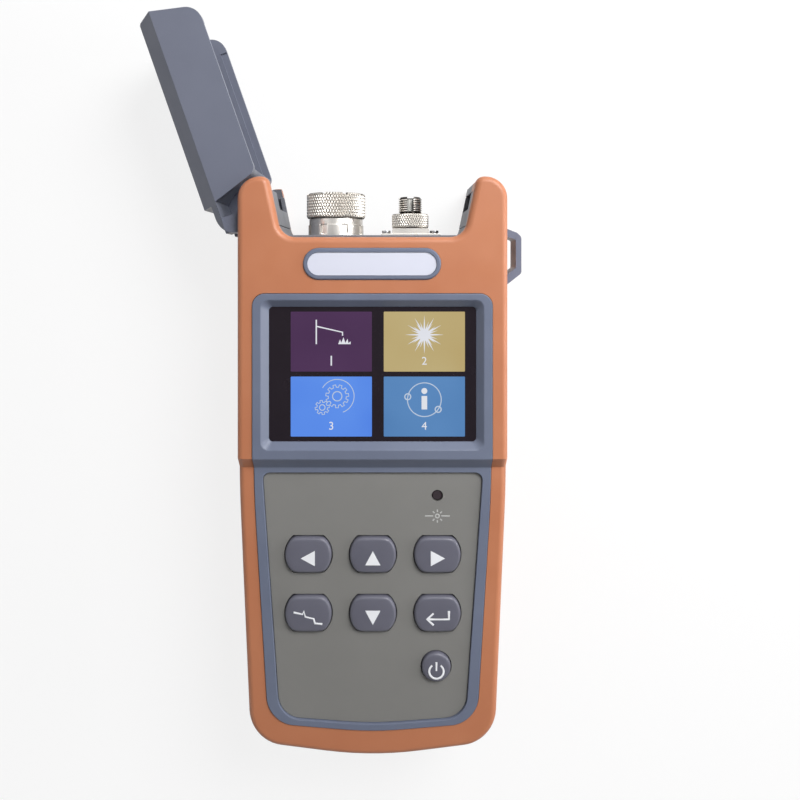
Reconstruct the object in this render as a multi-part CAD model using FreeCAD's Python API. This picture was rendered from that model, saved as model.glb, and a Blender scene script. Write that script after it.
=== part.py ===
import FreeCAD, Part
import math
import os

# Handheld optical time domain reflectometer, lying on its back.
# Millimetres. +X right, +Y towards the optical ports, +Z out of the keypad face.
# The origin is the centre of the flat back.

# ---------------------------------------------------------------- screen
SCREEN_X = 0.0
SCREEN_Y = 28.3
WINDOW_W = 66.1
WINDOW_H = 42.9
WINDOW_ROUND = 1.2
LIP_SIDE = 2.4           # the bevelled recess widens by this much to each side
LIP_ROUND = 2.6
WINDOW_MARGIN = 1.6      # the window reaches under the bezel by this much
WINDOW_THICK = 1.4
LCD_THICK = 4.0
LCD_MARGIN = 1.4         # the display tray reaches past the window opening
TAIL_W = 24.0            # connector on the back of the display
TAIL_H = 8.0
TAIL_THICK = 1.5
TAIL_DROP = 2.0

# ---------------------------------------------------------------- bezel and keypad panel
BEZEL_SIDE = 5.1         # width of the bezel beside the window
BEZEL_HALF = WINDOW_W / 2 + BEZEL_SIDE
BEZEL_TOP = SCREEN_Y + WINDOW_H / 2 + 4.4
BEZEL_LOW_HALF = BEZEL_HALF - 4.6
BEZEL_LOW_Y = -84.0
BEZEL_BOTTOM = -86.8
BEZEL_CORNER = 4.0
BEZEL_LOW_CORNER = 9.5
BEZEL_SEAT = 2.0         # depth of the seat in the front half
BEZEL_PROUD = 0.4
BEZEL_LEDGE = 1.5        # ledge that the bezel rests on
BEZEL_DEPTH = 8.0        # the opening under the bezel starts this far above the parting plane
PANEL_HALF = BEZEL_HALF - 2.8
PANEL_LOW_HALF = BEZEL_LOW_HALF - 3.7
PANEL_TOP = -3.6
PANEL_LOW_Y = -82.2
PANEL_BOTTOM = -84.4
PANEL_CORNER = 2.4
PANEL_LOW_CORNER = 7.5
PANEL_THICK = 1.5
PANEL_RECESS = 0.5       # face of the panel below the keypad face

# ---------------------------------------------------------------- housing
HALF_WIDTH = BEZEL_HALF + 5.0
THICKNESS = 44.0         # back to the face round the screen
FACE_DROP = 3.0          # the keypad face lies this much lower
STEP_TOP_Y = 1.6         # the slope between both faces starts here
STEP_LOW_Y = -1.8        # and ends here
SPLIT_Z = 22.0           # parting plane of the two halves
WALL = 3.0               # side walls
FACE_WALL = 3.3          # front and back walls, and so the ears
EDGE_ROUND = 2.0         # rounding of the outer edges
BOTTOM_Y = -95.8         # lowest point of the bowed bottom
CORNER_X = HALF_WIDTH - 3.6
CORNER_Y = -90.8
CORNER_ROUND = 12.0
TAPER_Y = -8.0           # the sides run in below this height
SIDE_ROUND = 400.0
BOTTOM_ROUND = 120.0
HORN_TOP = 91.6          # tops of the two horns
HORN_INNER_X = HALF_WIDTH - 9.8
HORN_ROUND = 7.0
HORN_INNER_ROUND = 2.8
SHOULDER_Y = 72.2        # bottom of the notch between the horns
NOTCH_X = HALF_WIDTH - 13.9
NOTCH_ROUND = 5.5
FIT_GAP = 0.15           # between parts that are set into each other
RUN_GAP = 0.3            # between parts that move past each other

# ---------------------------------------------------------------- name plate (left bare)
PLATE_X = -0.1
PLATE_Y = 63.6
PLATE_W = 41.0
PLATE_H = 7.3
FRAME_W = PLATE_W + 2.8
FRAME_H = PLATE_H + 2.8
FRAME_EDGE = 0.4
FRAME_SEAT = 1.0
FRAME_PROUD = 0.6
PLATE_SUNK = 0.3         # the plate lies below the rim of its frame
PLATE_THICK = 0.8

# ---------------------------------------------------------------- keys
KEY_PITCH = PANEL_HALF - 14.6
KEY_MIDDLE = 0.1
KEY_COLUMNS = (KEY_MIDDLE - KEY_PITCH, KEY_MIDDLE, KEY_MIDDLE + KEY_PITCH)
KEY_ROWS = (-29.9, -48.8)
KEY_DIA = 15.0
KEY_FLAT = 5.75          # half height over the flats of a key
KEY_RISE = 1.7
KEY_EDGE = 0.6
KEY_FLANGE = 0.7         # the flange under the panel is wider by this much
KEY_FLANGE_THICK = 1.3
KEY_GAP = 0.3            # round each key in its hole
KEY_TRAVEL = 1.0
POWER_X = KEY_COLUMNS[2] - 0.4
POWER_Y = -65.9
POWER_DIA = 9.4
LED_X = KEY_COLUMNS[2]
LED_Y = -11.1
LED_DIA = 3.4
LED_SUNK = 0.3
LED_EDGE = 0.4

# ---------------------------------------------------------------- inside
BOARD_THICK = 1.6
MAIN_BOARD_Z = 30.0
BOARD_SIDE_GAP = 2.5     # between the main board and the side walls
BOARD_LOW_Y = -10.0
BOARD_TOP_Y = 66.0
CHIP_THICK = 1.4
CHIPS = ((16.0, 0.0, 14.0, 14.0), (-30.0, 2.0, 10.0, 8.0), (-8.0, 4.0, 9.0, 9.0))
KEY_BOARD_THICK = 1.2
KEY_BOARD_INSET = 5.0    # the key board lies inside the panel's outline by this much
MAT_SHEET = 0.6
MAT_DOME = 0.6
MAT_INSET = 0.8
DOME_R = 3.6
POWER_DOME_R = 3.0
DOME_TAPER = 1.0
PEG_R = 1.2
PEG_X = KEY_PITCH / 2
PEG_ROWS = (-17.0, -72.0)
SCREW_TOP_X = HALF_WIDTH - 8.4
SCREW_TOP_Y = 62.0
SCREW_LOW_X = HALF_WIDTH - 12.2
SCREW_LOW_Y = -80.5
BOSS_R = 3.1
BOSS_SINK = 0.5          # the bosses reach this far into the face wall
RIB = 1.4                # ribs from the bosses to the side walls
REAR_BOSS_R = 4.0
SCREW_R = 1.25
SCREW_HEAD_R = 2.7
SCREW_HEAD_H = 2.0
SCREW_SINK = 12.0        # depth of the screw heads in the back
SCREW_REACH = 14.0       # length of the screws above the parting plane
SCREW_SPARE = 1.0        # the pilot holes are longer by this much
DRIVE_R = 1.25
DRIVE_DEPTH = 1.2
CELL_R = 9.3             # round cells of the battery pack
CELL_PITCH = 2 * CELL_R
PACK_LENGTH = 66.0
PACK_Y = -40.0
PACK_FLAT = 1.2          # the sleeve is flatter than its cells by this much
PACK_TAB = (5.0, 2.2, 3.0)
DOOR_HALF = 27.0
DOOR_TOP = -5.5
DOOR_LOW = -74.5
DOOR_ROUND = 4.0
DOOR_THICK = 1.8
DOOR_LEDGE = 1.3
DOOR_SCREW_X = DOOR_HALF - 4.0
DOOR_SCREW_INSET = 4.2
DOOR_SCREW_R = 1.0
DOOR_SCREW_HEAD_R = 1.9
DOOR_SCREW_SINK = 0.1
DOOR_SCREW_SEAT = 0.9
DOOR_SCREW_END = 7.5
DOOR_DRIVE_R = 0.9
DOOR_DRIVE_DEPTH = 0.5
DOOR_POST_TOP = 9.0
DOOR_POST_WALL = 1.0
GRIP_RIBS = 5            # grooves that a thumb pushes against
GRIP_HALF = 12.0
GRIP_PITCH = 2.4
GRIP_W = 1.2
GRIP_DEPTH = 0.5
GRIP_INSET = 6.0

# ---------------------------------------------------------------- optical ports
PORT_Z = 23.0
DECK_RISE = 0.7          # deck of the liner above the shoulder
LINER_THICK = 1.5
LINER_SETBACK = 1.2      # liner faces behind the edges of the front ear
LINER_LIP = 0.5          # the liner hides the edge of the back ear by this much
LINER_GAP = 0.2
LINER_ROUND = 3.6
LINER_SEAM = 0.1         # hairline between the deck and each cheek
SLOT_Z0 = 5.0            # slots for the hinge arm and the latch tab
SLOT_Z1 = 22.0
SLOT_BOTTOM = 82.7
OTDR_X = -13.1
OTDR_NUT_R = 9.5
OTDR_NUT_H = 4.0
NUT_SLOTS = 8
NUT_SLOT_W = 2.4
NUT_SLOT_DEPTH = 0.9
NUT_SLOT_BASE = 0.8
OTDR_COLLAR_R = 9.2
OTDR_BARREL_R = 7.9
OTDR_BARREL_WALL = 2.2
BARREL_SUNK = 1.5        # the barrel ends below the top of its ring
RING_R = 10.1
RING_BASE_Y = 79.2
RING_TOP_Y = 87.6
RING_CHAMFER = 0.6
TURN_GAP = 0.1           # radial running gap of the knurled parts
VFL_X = 12.6
VFL_FLANGE_W = 20.0
VFL_FLANGE_D = 13.0
VFL_FLANGE_H = 1.0
VFL_SCREW_X = 8.3
VFL_SCREW_R = 0.8
VFL_SCREW_HEAD_R = 1.5
VFL_SCREW_HEAD_H = 1.2
VFL_SCREW_LENGTH = 3.5
VFL_DRIVE_W = 0.5
VFL_BLOCK_W = 12.4
VFL_BLOCK_H = 1.8
VFL_THREAD_R = 4.0
VFL_SHANK_R = 3.8        # plain shank below the thread
VFL_NUT_R = 6.35
VFL_NUT_TOP = 80.7
VFL_NUT_CHAMFER = 0.4
VFL_THREAD_TOP = 86.6
VFL_BORE_R = 2.75
VFL_BORE_DEPTH = 3.0     # the wide bore starts this far below the top of the nut
KEY_SLOT_W = 2.2
KEY_SLOT_RISE = 0.8
SLEEVE_R = 1.6
FERRULE_R = 1.25
FERRULE_SEAT = 2.0
OTDR_SLEEVE_SUNK = 3.0
VFL_SLEEVE_SUNK = 0.8
SHANK_Y = 66.5           # the port shanks end here, inside the housing
MODULE_HALF = 16.3       # screened measuring unit behind the larger port
MODULE_SHIFT = -0.2
MODULE_LENGTH = 40.5
MODULE_Z0 = 9.0
MODULE_TOP_GAP = 3.5
MODULE_SEAM = 0.4
SEAM_Z = 18.0
SEAM_H = 0.8
FOOT_R = 2.0
FOOT_INSET = (3.1, 4.0, 6.5)
LASER_R = 5.2
LASER_LENGTH = 30.5
LASER_COLLAR_R = 6.0
LASER_COLLAR = (4.5, 8.5)
SADDLE_HALF = 4.0
SADDLE = (12.5, 24.5)

# ---------------------------------------------------------------- port cover
HINGE_INSET = 4.3        # pivot inside the left side
PIVOT_X = HINGE_INSET - HALF_WIDTH
PIVOT_Y = 79.9
OPEN_ANGLE = 109.3       # swing from shut to the open rest position
PIN_R = 1.25
PIN_GAP = 0.1
PIN_SEAT = 2.2           # depth of the pin's seats in the ears
COVER_GAP = 0.7          # between the cover and each ear
COVER_WALL = 2.3
COVER_RIM = -5.4         # rim of the shut cover, from the pivot
COVER_RIDGE = 10.1       # ridge where the bevel starts
COVER_BEVEL = 5.4
COVER_NEAR_LOW = 12.8    # hinge end of the walls at the rim
COVER_NEAR_HIGH = 7.6    # and at the ridge
COVER_FAR_HIGH = HORN_INNER_X - PIVOT_X + 0.5
COVER_FAR_LOW = COVER_FAR_HIGH - 3.3
COVER_SLANT = 0.8        # both ends lean in by this much above the ridge
COVER_NEAR_ROUND = 3.0
COVER_FAR_ROUND = 5.5
COVER_TOP_ROUND = 1.0
COVER_END_WALL = 2.7
LIP_WIDTH = 2.4          # thinner lip along the inside of the rim
LIP_STEP = 0.8
END_NEAR_R = 12.4        # the hinge end wall is an arc about the pivot
END_FAR_R = 14.6
LUG_TOP = 12.3
LUG_END = -4.6
LUG_SKIN = 1.7
LUG_WEB = 3.0
BARREL_R = 3.3
BARREL_LENGTH = 8.6
BARREL_INSET = 0.4
ARM_BOTTOM = 3.4
ARM_GAP = 0.6            # between the arm and its slot
SIDE_OPEN_Y = 73.0       # the left wall is open between the ears above this
TAB_LOW = 3.9
TAB_THICK = 1.6
TAB_REACH = 0.7
TAB_INSET = 3.0
SPRING_WIRE = 0.7
SPRING_R = 2.1
SPRING_TURNS = 7
SPRING_LEG = 8.6
SEAL_THICK = 4.2
SEAL_INSET = 0.4         # from the bevelled side of the cover's room
SEAL_X0 = 16.0
SEAL_END_GAP = 9.4

# ---------------------------------------------------------------- right side
LOOP_Z = 22.0
LOOP_WIDTH = 11.0
LOOP_OUT_X = HALF_WIDTH + 7.2
LOOP_BAR = 1.9
LOOP_TOP = 74.2          # outer corners of the loop
LOOP_LOW = 60.4
LOOP_CHAMFER = 1.4
LOOP_ROOT_TOP = 77.6     # where the legs meet the inner face of the wall
LOOP_ROOT_LOW = 52.4
LOOP_LEG = 2.4           # thickness of the legs along Y
LOOP_BEND = 1.6
LOOP_FLANGE = (1.4, 0.1, 3.0, 7.0)
LOOP_LINK = (0.2, 2.0, 5.0)
USB_Y = 41.0
USB_W = 7.5
USB_H = 2.8
USB_DEPTH = 6.0
USB_WALL = 0.35
USB_RECESS = 0.9
USB_INSET = 0.6          # mouth of the socket inside the side wall
USB_BACK = 0.8
TONGUE_INSET = (0.4, 1.2, 1.6)
TONGUE_THICK = 0.6

BIG = 220.0
TOP = THICKNESS
LOW_TOP = THICKNESS - FACE_DROP
EAR_Z0 = FACE_WALL
EAR_Z1 = THICKNESS - FACE_WALL
DECK_Y = SHOULDER_Y + DECK_RISE
COVER_TOP = COVER_RIDGE + COVER_BEVEL


# ---------------------------------------------------------------- geometry helpers
def vec(x, y, z=0.0):
    return FreeCAD.Vector(x, y, z)


def rounded_wire(corners):
    """Closed outline through (x, y, radius) corners; each radius is a true arc."""
    points = [vec(x, y) for x, y, _ in corners]
    arcs = []
    for i, (_, _, radius) in enumerate(corners):
        here = points[i]
        back = (points[i - 1] - here).normalize()
        ahead = (points[(i + 1) % len(points)] - here).normalize()
        half = back.getAngle(ahead) / 2
        if radius <= 0:
            arcs.append((here, None, here))
            continue
        reach = radius / math.tan(half)
        middle = (back + ahead).normalize()
        centre = here + middle * (radius / math.sin(half))
        arcs.append((here + back * reach, centre - middle * radius, here + ahead * reach))
    edges = []
    for i, (start, mid, end) in enumerate(arcs):
        if mid is not None:
            edges.append(Part.Arc(start, mid, end).toShape())
        following = arcs[(i + 1) % len(arcs)][0]
        if end.distanceToPoint(following) > 1e-6:
            edges.append(Part.LineSegment(end, following).toShape())
    return Part.Wire(Part.__sortEdges__(edges))


def prism(corners, z0, z1, grow=0.0):
    """Upright solid on a rounded outline, grown or shrunk sideways by grow."""
    face = Part.Face(rounded_wire(corners))
    if grow:
        face = face.makeOffset2D(grow)
    face.translate(vec(0, 0, z0))
    return face.extrude(vec(0, 0, z1 - z0))


def mirrored(half):
    """Outline from its right half, listed from the bottom up."""
    return half + [(-x, y, r) for x, y, r in reversed(half)]


def block(x0, x1, y0, y1, z0, z1):
    return Part.makeBox(x1 - x0, y1 - y0, z1 - z0, vec(x0, y0, z0))


def rod_z(x, y, radius, z0, z1):
    return Part.makeCylinder(radius, z1 - z0, vec(x, y, z0))


def rod_y(x, z, radius, y0, y1):
    return Part.makeCylinder(radius, y1 - y0, vec(x, y0, z), vec(0, 1, 0))


def stadium(x, y, width, height, z0, z1):
    w, h = width / 2, height / 2
    corners = [(x + w, y - h, h), (x + w, y + h, h), (x - w, y + h, h), (x - w, y - h, h)]
    return prism([(a, b, r - 0.001) for a, b, r in corners], z0, z1)


def rectangle(x, y, width, height, radius):
    w, h = width / 2, height / 2
    return [(x + w, y - h, radius), (x + w, y + h, radius), (x - w, y + h, radius), (x - w, y - h, radius)]


def union(shapes):
    solid = shapes[0].fuse(shapes[1:]) if len(shapes) > 1 else shapes[0]
    return solid.removeSplitter()


def below_face(offset):
    """Everything under the stepped face, raised or lowered by offset."""
    side = Part.makePolygon([
        vec(-BIG, -BIG, -BIG), vec(-BIG, BIG, -BIG), vec(-BIG, BIG, TOP + offset),
        vec(-BIG, STEP_TOP_Y, TOP + offset), vec(-BIG, STEP_LOW_Y, LOW_TOP + offset),
        vec(-BIG, -BIG, LOW_TOP + offset), vec(-BIG, -BIG, -BIG)])
    return Part.Face(side).extrude(vec(2 * BIG, 0, 0))


def save(name, shape):
    shape.exportStep(f"parts/{name}.step")


# ---------------------------------------------------------------- outlines
def side_outline():
    return [(CORNER_X, CORNER_Y, CORNER_ROUND), (HALF_WIDTH, TAPER_Y, SIDE_ROUND),
            (HALF_WIDTH, HORN_TOP, HORN_ROUND)]


def body_outline():
    """Front outline of the housing with the notch between its horns."""
    half = side_outline() + [(HORN_INNER_X, HORN_TOP, HORN_INNER_ROUND), (NOTCH_X, SHOULDER_Y, NOTCH_ROUND)]
    return [(0, BOTTOM_Y, BOTTOM_ROUND)] + mirrored(half)


def cavity_outline():
    """The same outline with the notch filled; its inner offset is the hollow."""
    return [(0, BOTTOM_Y, BOTTOM_ROUND)] + mirrored(side_outline())


def bezel_outline(grow=0.0):
    """Outline of the bezel, grown or shrunk sideways by grow."""
    half = [(BEZEL_LOW_HALF + grow, BEZEL_LOW_Y - grow, BEZEL_LOW_CORNER + grow),
            (BEZEL_HALF + grow, TAPER_Y, SIDE_ROUND),
            (BEZEL_HALF + grow, BEZEL_TOP + grow, BEZEL_CORNER + grow)]
    return [(0, BEZEL_BOTTOM - grow, BOTTOM_ROUND)] + mirrored(half)


def panel_outline(grow=0.0):
    half = [(PANEL_LOW_HALF + grow, PANEL_LOW_Y - grow, PANEL_LOW_CORNER + grow),
            (PANEL_HALF + grow, PANEL_TOP + grow, PANEL_CORNER + grow)]
    return [(0, PANEL_BOTTOM - grow, BOTTOM_ROUND)] + mirrored(half)


def notch_side(y, extra):
    """X of the right edge of the notch at a height, moved out by extra."""
    share = (y - SHOULDER_Y) / (HORN_TOP - SHOULDER_Y)
    return NOTCH_X + (HORN_INNER_X - NOTCH_X) * share + extra


# ---------------------------------------------------------------- housing
def rounded_body(height):
    """Housing outline at one thickness, with its face and back edges rounded."""
    solid = prism(body_outline(), 0, height)
    return solid.makeFillet(EDGE_ROUND, [e for e in solid.Edges if e.BoundBox.ZLength < 1e-6])


def end_wire(solid, y):
    """Outline of the flat face that ends a solid at height y."""
    ends = [f for f in solid.Faces if f.BoundBox.YLength < 1e-6 and abs(f.BoundBox.YMin - y) < 1e-6]
    return ends[0].OuterWire


def outer_body():
    """Outer form of both halves together: two thicknesses joined by the slope across the face."""
    upper = rounded_body(TOP).common(block(-BIG, BIG, STEP_TOP_Y, BIG, -BIG, BIG))
    lower = rounded_body(LOW_TOP).common(block(-BIG, BIG, -BIG, STEP_LOW_Y, -BIG, BIG))
    slope = Part.makeLoft([end_wire(lower, STEP_LOW_Y), end_wire(upper, STEP_TOP_Y)], True, True)
    return union([upper, slope, lower])


def case_screw_places():
    return [(SCREW_TOP_X, SCREW_TOP_Y), (-SCREW_TOP_X, SCREW_TOP_Y),
            (SCREW_LOW_X, SCREW_LOW_Y), (-SCREW_LOW_X, SCREW_LOW_Y)]


def door_screw_places():
    rows = (DOOR_TOP - DOOR_SCREW_INSET, DOOR_LOW + DOOR_SCREW_INSET)
    return [(side * DOOR_SCREW_X, y) for y in rows for side in (1, -1)]


def side_openings():
    """What is cut out of the side walls: the lug's gap, the loop's slots and the socket's mouth."""
    lug_gap = block(-BIG, -HORN_INNER_X + 2, SIDE_OPEN_Y, BIG, EAR_Z0, EAR_Z1)
    legs = loop_ring(FIT_GAP)
    usb = block(HALF_WIDTH - WALL - 1, BIG, USB_Y - USB_W / 2 - USB_RECESS, USB_Y + USB_W / 2 + USB_RECESS,
                MAIN_BOARD_Z - USB_H - USB_RECESS, MAIN_BOARD_Z + USB_RECESS / 2)
    pin = hinge_pin()
    return [lug_gap, legs, usb, pin, notch_room()]


def boss_ribs(z0, z1):
    """Ribs that tie the lower screw bosses to the side walls."""
    ribs = []
    for x, y in ((SCREW_LOW_X, SCREW_LOW_Y), (-SCREW_LOW_X, SCREW_LOW_Y)):
        outer_x = math.copysign(HALF_WIDTH, x)
        ribs.append(block(min(x, outer_x), max(x, outer_x), y - RIB / 2, y + RIB / 2, z0, z1))
    return union(ribs).common(hollow(z0, z1))


def hollow(z0, z1):
    return prism(cavity_outline(), z0, z1, -WALL)


def front_shell():
    shell = outer_body().common(block(-BIG, BIG, -BIG, BIG, SPLIT_Z, BIG))
    shell = shell.cut(hollow(SPLIT_Z, BIG).common(below_face(-FACE_WALL)))
    under_face = below_face(BOSS_SINK - FACE_WALL)
    bosses = [rod_z(x, y, BOSS_R, SPLIT_Z, TOP).common(under_face) for x, y in case_screw_places()]
    ribs = boss_ribs(SPLIT_Z, LOW_TOP - FACE_WALL)
    shell = union([shell, ribs] + bosses)
    seat = prism(bezel_outline(FIT_GAP), 0, BIG).cut(below_face(-BEZEL_SEAT))
    through = prism(bezel_outline(-BEZEL_LEDGE), SPLIT_Z + BEZEL_DEPTH, BIG)
    frame_seat = stadium(PLATE_X, PLATE_Y, FRAME_W + FIT_GAP, FRAME_H + FIT_GAP, TOP - FRAME_SEAT, BIG)
    pilots = [rod_z(x, y, SCREW_R, SPLIT_Z, SPLIT_Z + SCREW_REACH + SCREW_SPARE)
              for x, y in case_screw_places()]
    through = through.cut(bosses + [ribs])
    shell = shell.cut(seat).cut(through).cut(frame_seat)
    return shell.cut(pilots + side_openings()).removeSplitter()


def door_outline():
    middle = (DOOR_TOP + DOOR_LOW) / 2
    return rectangle(0, middle, 2 * DOOR_HALF, DOOR_TOP - DOOR_LOW, DOOR_ROUND)


def rear_shell():
    shell = rounded_body(TOP).common(block(-BIG, BIG, -BIG, BIG, -1, SPLIT_Z))
    shell = shell.cut(hollow(FACE_WALL, SPLIT_Z))
    shell = shell.cut(prism(door_outline(), -1, DOOR_THICK, FIT_GAP))
    shell = shell.cut(prism(door_outline(), -1, FACE_WALL + 1, -DOOR_LEDGE))
    bosses = [rod_z(x, y, REAR_BOSS_R, 0, SPLIT_Z) for x, y in case_screw_places()]
    posts = [rod_z(x, y, DOOR_SCREW_HEAD_R + DOOR_POST_WALL, DOOR_THICK, DOOR_POST_TOP)
             for x, y in door_screw_places()]
    shell = union([shell, boss_ribs(FACE_WALL, SPLIT_Z)] + bosses + posts)
    back_notch = notch_outline(SHOULDER_Y, LINER_SETBACK + LINER_LIP, NOTCH_ROUND)
    cuts = side_openings() + [prism(back_notch, -1, EAR_Z0)]
    for x, y in case_screw_places():
        cuts.append(rod_z(x, y, SCREW_HEAD_R + FIT_GAP, -1, SCREW_SINK + SCREW_HEAD_H))
        cuts.append(rod_z(x, y, SCREW_R, 0, SPLIT_Z + 1))
    for x, y in door_screw_places():
        cuts.append(rod_z(x, y, DOOR_SCREW_R, 0, DOOR_SCREW_END + FIT_GAP))
    return shell.cut(cuts).removeSplitter()


def case_screws():
    """Four long screws whose heads sit deep in the back."""
    screws = []
    for x, y in case_screw_places():
        seat = SCREW_SINK + SCREW_HEAD_H
        head = rod_z(x, y, SCREW_HEAD_R, SCREW_SINK, seat)
        drive = hex_prism(x, y, DRIVE_R, SCREW_SINK, SCREW_SINK + DRIVE_DEPTH)
        shaft = rod_z(x, y, SCREW_R, seat, SPLIT_Z + SCREW_REACH)
        screws.append(head.fuse(shaft).cut(drive).removeSplitter())
    return Part.makeCompound(screws)


def hex_prism(x, y, radius, z0, z1):
    points = []
    for i in range(7):
        angle = math.radians(60 * i)
        points.append(vec(x + radius * math.cos(angle), y + radius * math.sin(angle), z0))
    return Part.Face(Part.makePolygon(points)).extrude(vec(0, 0, z1 - z0))


def battery_door():
    """Flush door in the back with four sunk screws and a row of grip ribs."""
    door = prism(door_outline(), 0, DOOR_THICK)
    for x, y in door_screw_places():
        door = door.cut(rod_z(x, y, DOOR_SCREW_HEAD_R + FIT_GAP, -1, DOOR_SCREW_SEAT))
        door = door.cut(rod_z(x, y, DOOR_SCREW_R + FIT_GAP, -1, BIG))
    for i in range(GRIP_RIBS):
        y = DOOR_TOP - GRIP_INSET - GRIP_PITCH * i
        door = door.cut(block(-GRIP_HALF, GRIP_HALF, y - GRIP_W / 2, y + GRIP_W / 2, -1, GRIP_DEPTH))
    return door.removeSplitter()


def battery_door_screws():
    screws = []
    for x, y in door_screw_places():
        head = rod_z(x, y, DOOR_SCREW_HEAD_R, DOOR_SCREW_SINK, DOOR_SCREW_SEAT)
        drive = hex_prism(x, y, DOOR_DRIVE_R, DOOR_SCREW_SINK, DOOR_SCREW_SINK + DOOR_DRIVE_DEPTH)
        screws.append(head.fuse(rod_z(x, y, DOOR_SCREW_R, DOOR_SCREW_SEAT, DOOR_SCREW_END)).cut(drive))
    return Part.makeCompound(screws)


def battery_pack():
    """Two round cells side by side in one sleeve, with end caps and a lead tab."""
    z = DOOR_THICK + RUN_GAP + CELL_R
    y0, y1 = PACK_Y - PACK_LENGTH / 2, PACK_Y + PACK_LENGTH / 2
    cells = [rod_y(side * CELL_PITCH / 2, z, CELL_R, y0, y1) for side in (1, -1)]
    web = block(-CELL_PITCH / 2, CELL_PITCH / 2, y0, y1, z - CELL_R + PACK_FLAT, z + CELL_R - PACK_FLAT)
    half, reach, rise = PACK_TAB
    tab = block(-half, half, y1, y1 + reach, z - rise, z + rise)
    return union(cells + [web, tab])


# ---------------------------------------------------------------- front pieces
def front_bezel():
    """Frame round the screen and the keypad, with a bevelled screen recess."""
    frame = prism(bezel_outline(), 0, BIG).common(below_face(BEZEL_PROUD)).cut(below_face(-BEZEL_SEAT))
    mouth_w, mouth_h = WINDOW_W + 2 * LIP_SIDE, WINDOW_H + 2 * LIP_SIDE
    mouth = rounded_wire(rectangle(SCREEN_X, SCREEN_Y, mouth_w, mouth_h, LIP_ROUND))
    mouth.translate(vec(0, 0, TOP + BEZEL_PROUD + 0.01))
    foot = rounded_wire(rectangle(SCREEN_X, SCREEN_Y, WINDOW_W, WINDOW_H, WINDOW_ROUND))
    foot.translate(vec(0, 0, TOP - BEZEL_SEAT - 0.01))
    frame = frame.cut(Part.makeLoft([foot, mouth], True))
    return frame.cut(prism(panel_outline(FIT_GAP), 0, BIG)).removeSplitter()


def screen_window():
    top = TOP - BEZEL_SEAT
    width, height = WINDOW_W + 2 * WINDOW_MARGIN, WINDOW_H + 2 * WINDOW_MARGIN
    return prism(rectangle(SCREEN_X, SCREEN_Y, width, height, WINDOW_ROUND), top - WINDOW_THICK, top)


def lcd_module():
    """Display cell: glass on a metal tray with a tail connector on its back."""
    top = TOP - BEZEL_SEAT - WINDOW_THICK
    width, height = WINDOW_W + 2 * LCD_MARGIN, WINDOW_H + 2 * LCD_MARGIN
    tray = prism(rectangle(SCREEN_X, SCREEN_Y, width, height, WINDOW_ROUND), top - LCD_THICK, top)
    tail_y = SCREEN_Y - TAIL_DROP
    tail = block(SCREEN_X - TAIL_W / 2, SCREEN_X + TAIL_W / 2, tail_y - TAIL_H / 2, tail_y + TAIL_H / 2,
                 top - LCD_THICK - TAIL_THICK, top - LCD_THICK)
    return union([tray, tail])


def key_hole(x, y, grow, z0, z1):
    """Prism of a key's truncated circle, grown by grow."""
    round_part = rod_z(x, y, KEY_DIA / 2 + grow, z0, z1)
    flats = block(x - KEY_DIA, x + KEY_DIA, y - KEY_FLAT - grow, y + KEY_FLAT + grow, z0, z1)
    return round_part.common(flats)


def panel_z():
    top = LOW_TOP - PANEL_RECESS
    return top - PANEL_THICK, top


def keypad_panel():
    """Key plate with seven holes, the LED hole and four pegs for the key board."""
    z0, z1 = panel_z()
    plate = prism(panel_outline(), z0, z1)
    holes = [key_hole(x, y, KEY_GAP, z0 - 1, z1 + 1) for x in KEY_COLUMNS for y in KEY_ROWS]
    holes.append(rod_z(POWER_X, POWER_Y, POWER_DIA / 2 + KEY_GAP, z0 - 1, z1 + 1))
    holes.append(rod_z(LED_X, LED_Y, LED_DIA / 2 + KEY_GAP / 2, z0 - 1, z1 + 1))
    pegs = [rod_z(side * PEG_X, y, PEG_R, key_board_z()[0], z0) for y in PEG_ROWS for side in (1, -1)]
    return union([plate.cut(holes)] + pegs)


def key_levels():
    """Heights of a key: foot, underside and top of its flange, and its face."""
    z0, z1 = panel_z()
    flange_top = z0 - RUN_GAP
    flange_low = flange_top - KEY_FLANGE_THICK
    return flange_low, flange_top, z1 + KEY_RISE


def key_cap(x, y):
    low, flange_top, face = key_levels()
    cap = key_hole(x, y, 0, low, face)
    rim = [e for e in cap.Edges if e.BoundBox.ZMin > face - 1e-6]
    return union([cap.makeChamfer(KEY_EDGE, rim), key_hole(x, y, KEY_FLANGE, low, flange_top)])


def power_key():
    low, flange_top, face = key_levels()
    cap = rod_z(POWER_X, POWER_Y, POWER_DIA / 2, low, face)
    rim = [e for e in cap.Edges if e.BoundBox.ZMin > face - 1e-6]
    flange = rod_z(POWER_X, POWER_Y, POWER_DIA / 2 + KEY_FLANGE, low, flange_top)
    return union([cap.makeChamfer(KEY_EDGE, rim), flange])


def status_led():
    z0, z1 = panel_z()
    face = z1 - LED_SUNK
    body = rod_z(LED_X, LED_Y, LED_DIA / 2, key_board_z()[1], face)
    return body.makeChamfer(LED_EDGE, [e for e in body.Edges if e.BoundBox.ZMin > face - 1e-6])


def key_board_z():
    """The key board lies under the mat, which stays clear of the pressed keys."""
    top = key_levels()[0] - KEY_TRAVEL - RUN_GAP - MAT_DOME - MAT_SHEET
    return top - KEY_BOARD_THICK, top


def key_board_outline():
    inset = KEY_BOARD_INSET
    return mirrored([(PANEL_LOW_HALF - inset, PANEL_LOW_Y + inset, PANEL_CORNER),
                     (PANEL_HALF - inset, PANEL_TOP - inset, PANEL_CORNER)])


def keypad_board():
    z0, z1 = key_board_z()
    board = prism(key_board_outline(), z0, z1)
    pegs = [rod_z(side * PEG_X, y, PEG_R, z0 - 1, z1 + 1) for y in PEG_ROWS for side in (1, -1)]
    return board.cut(pegs)


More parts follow.
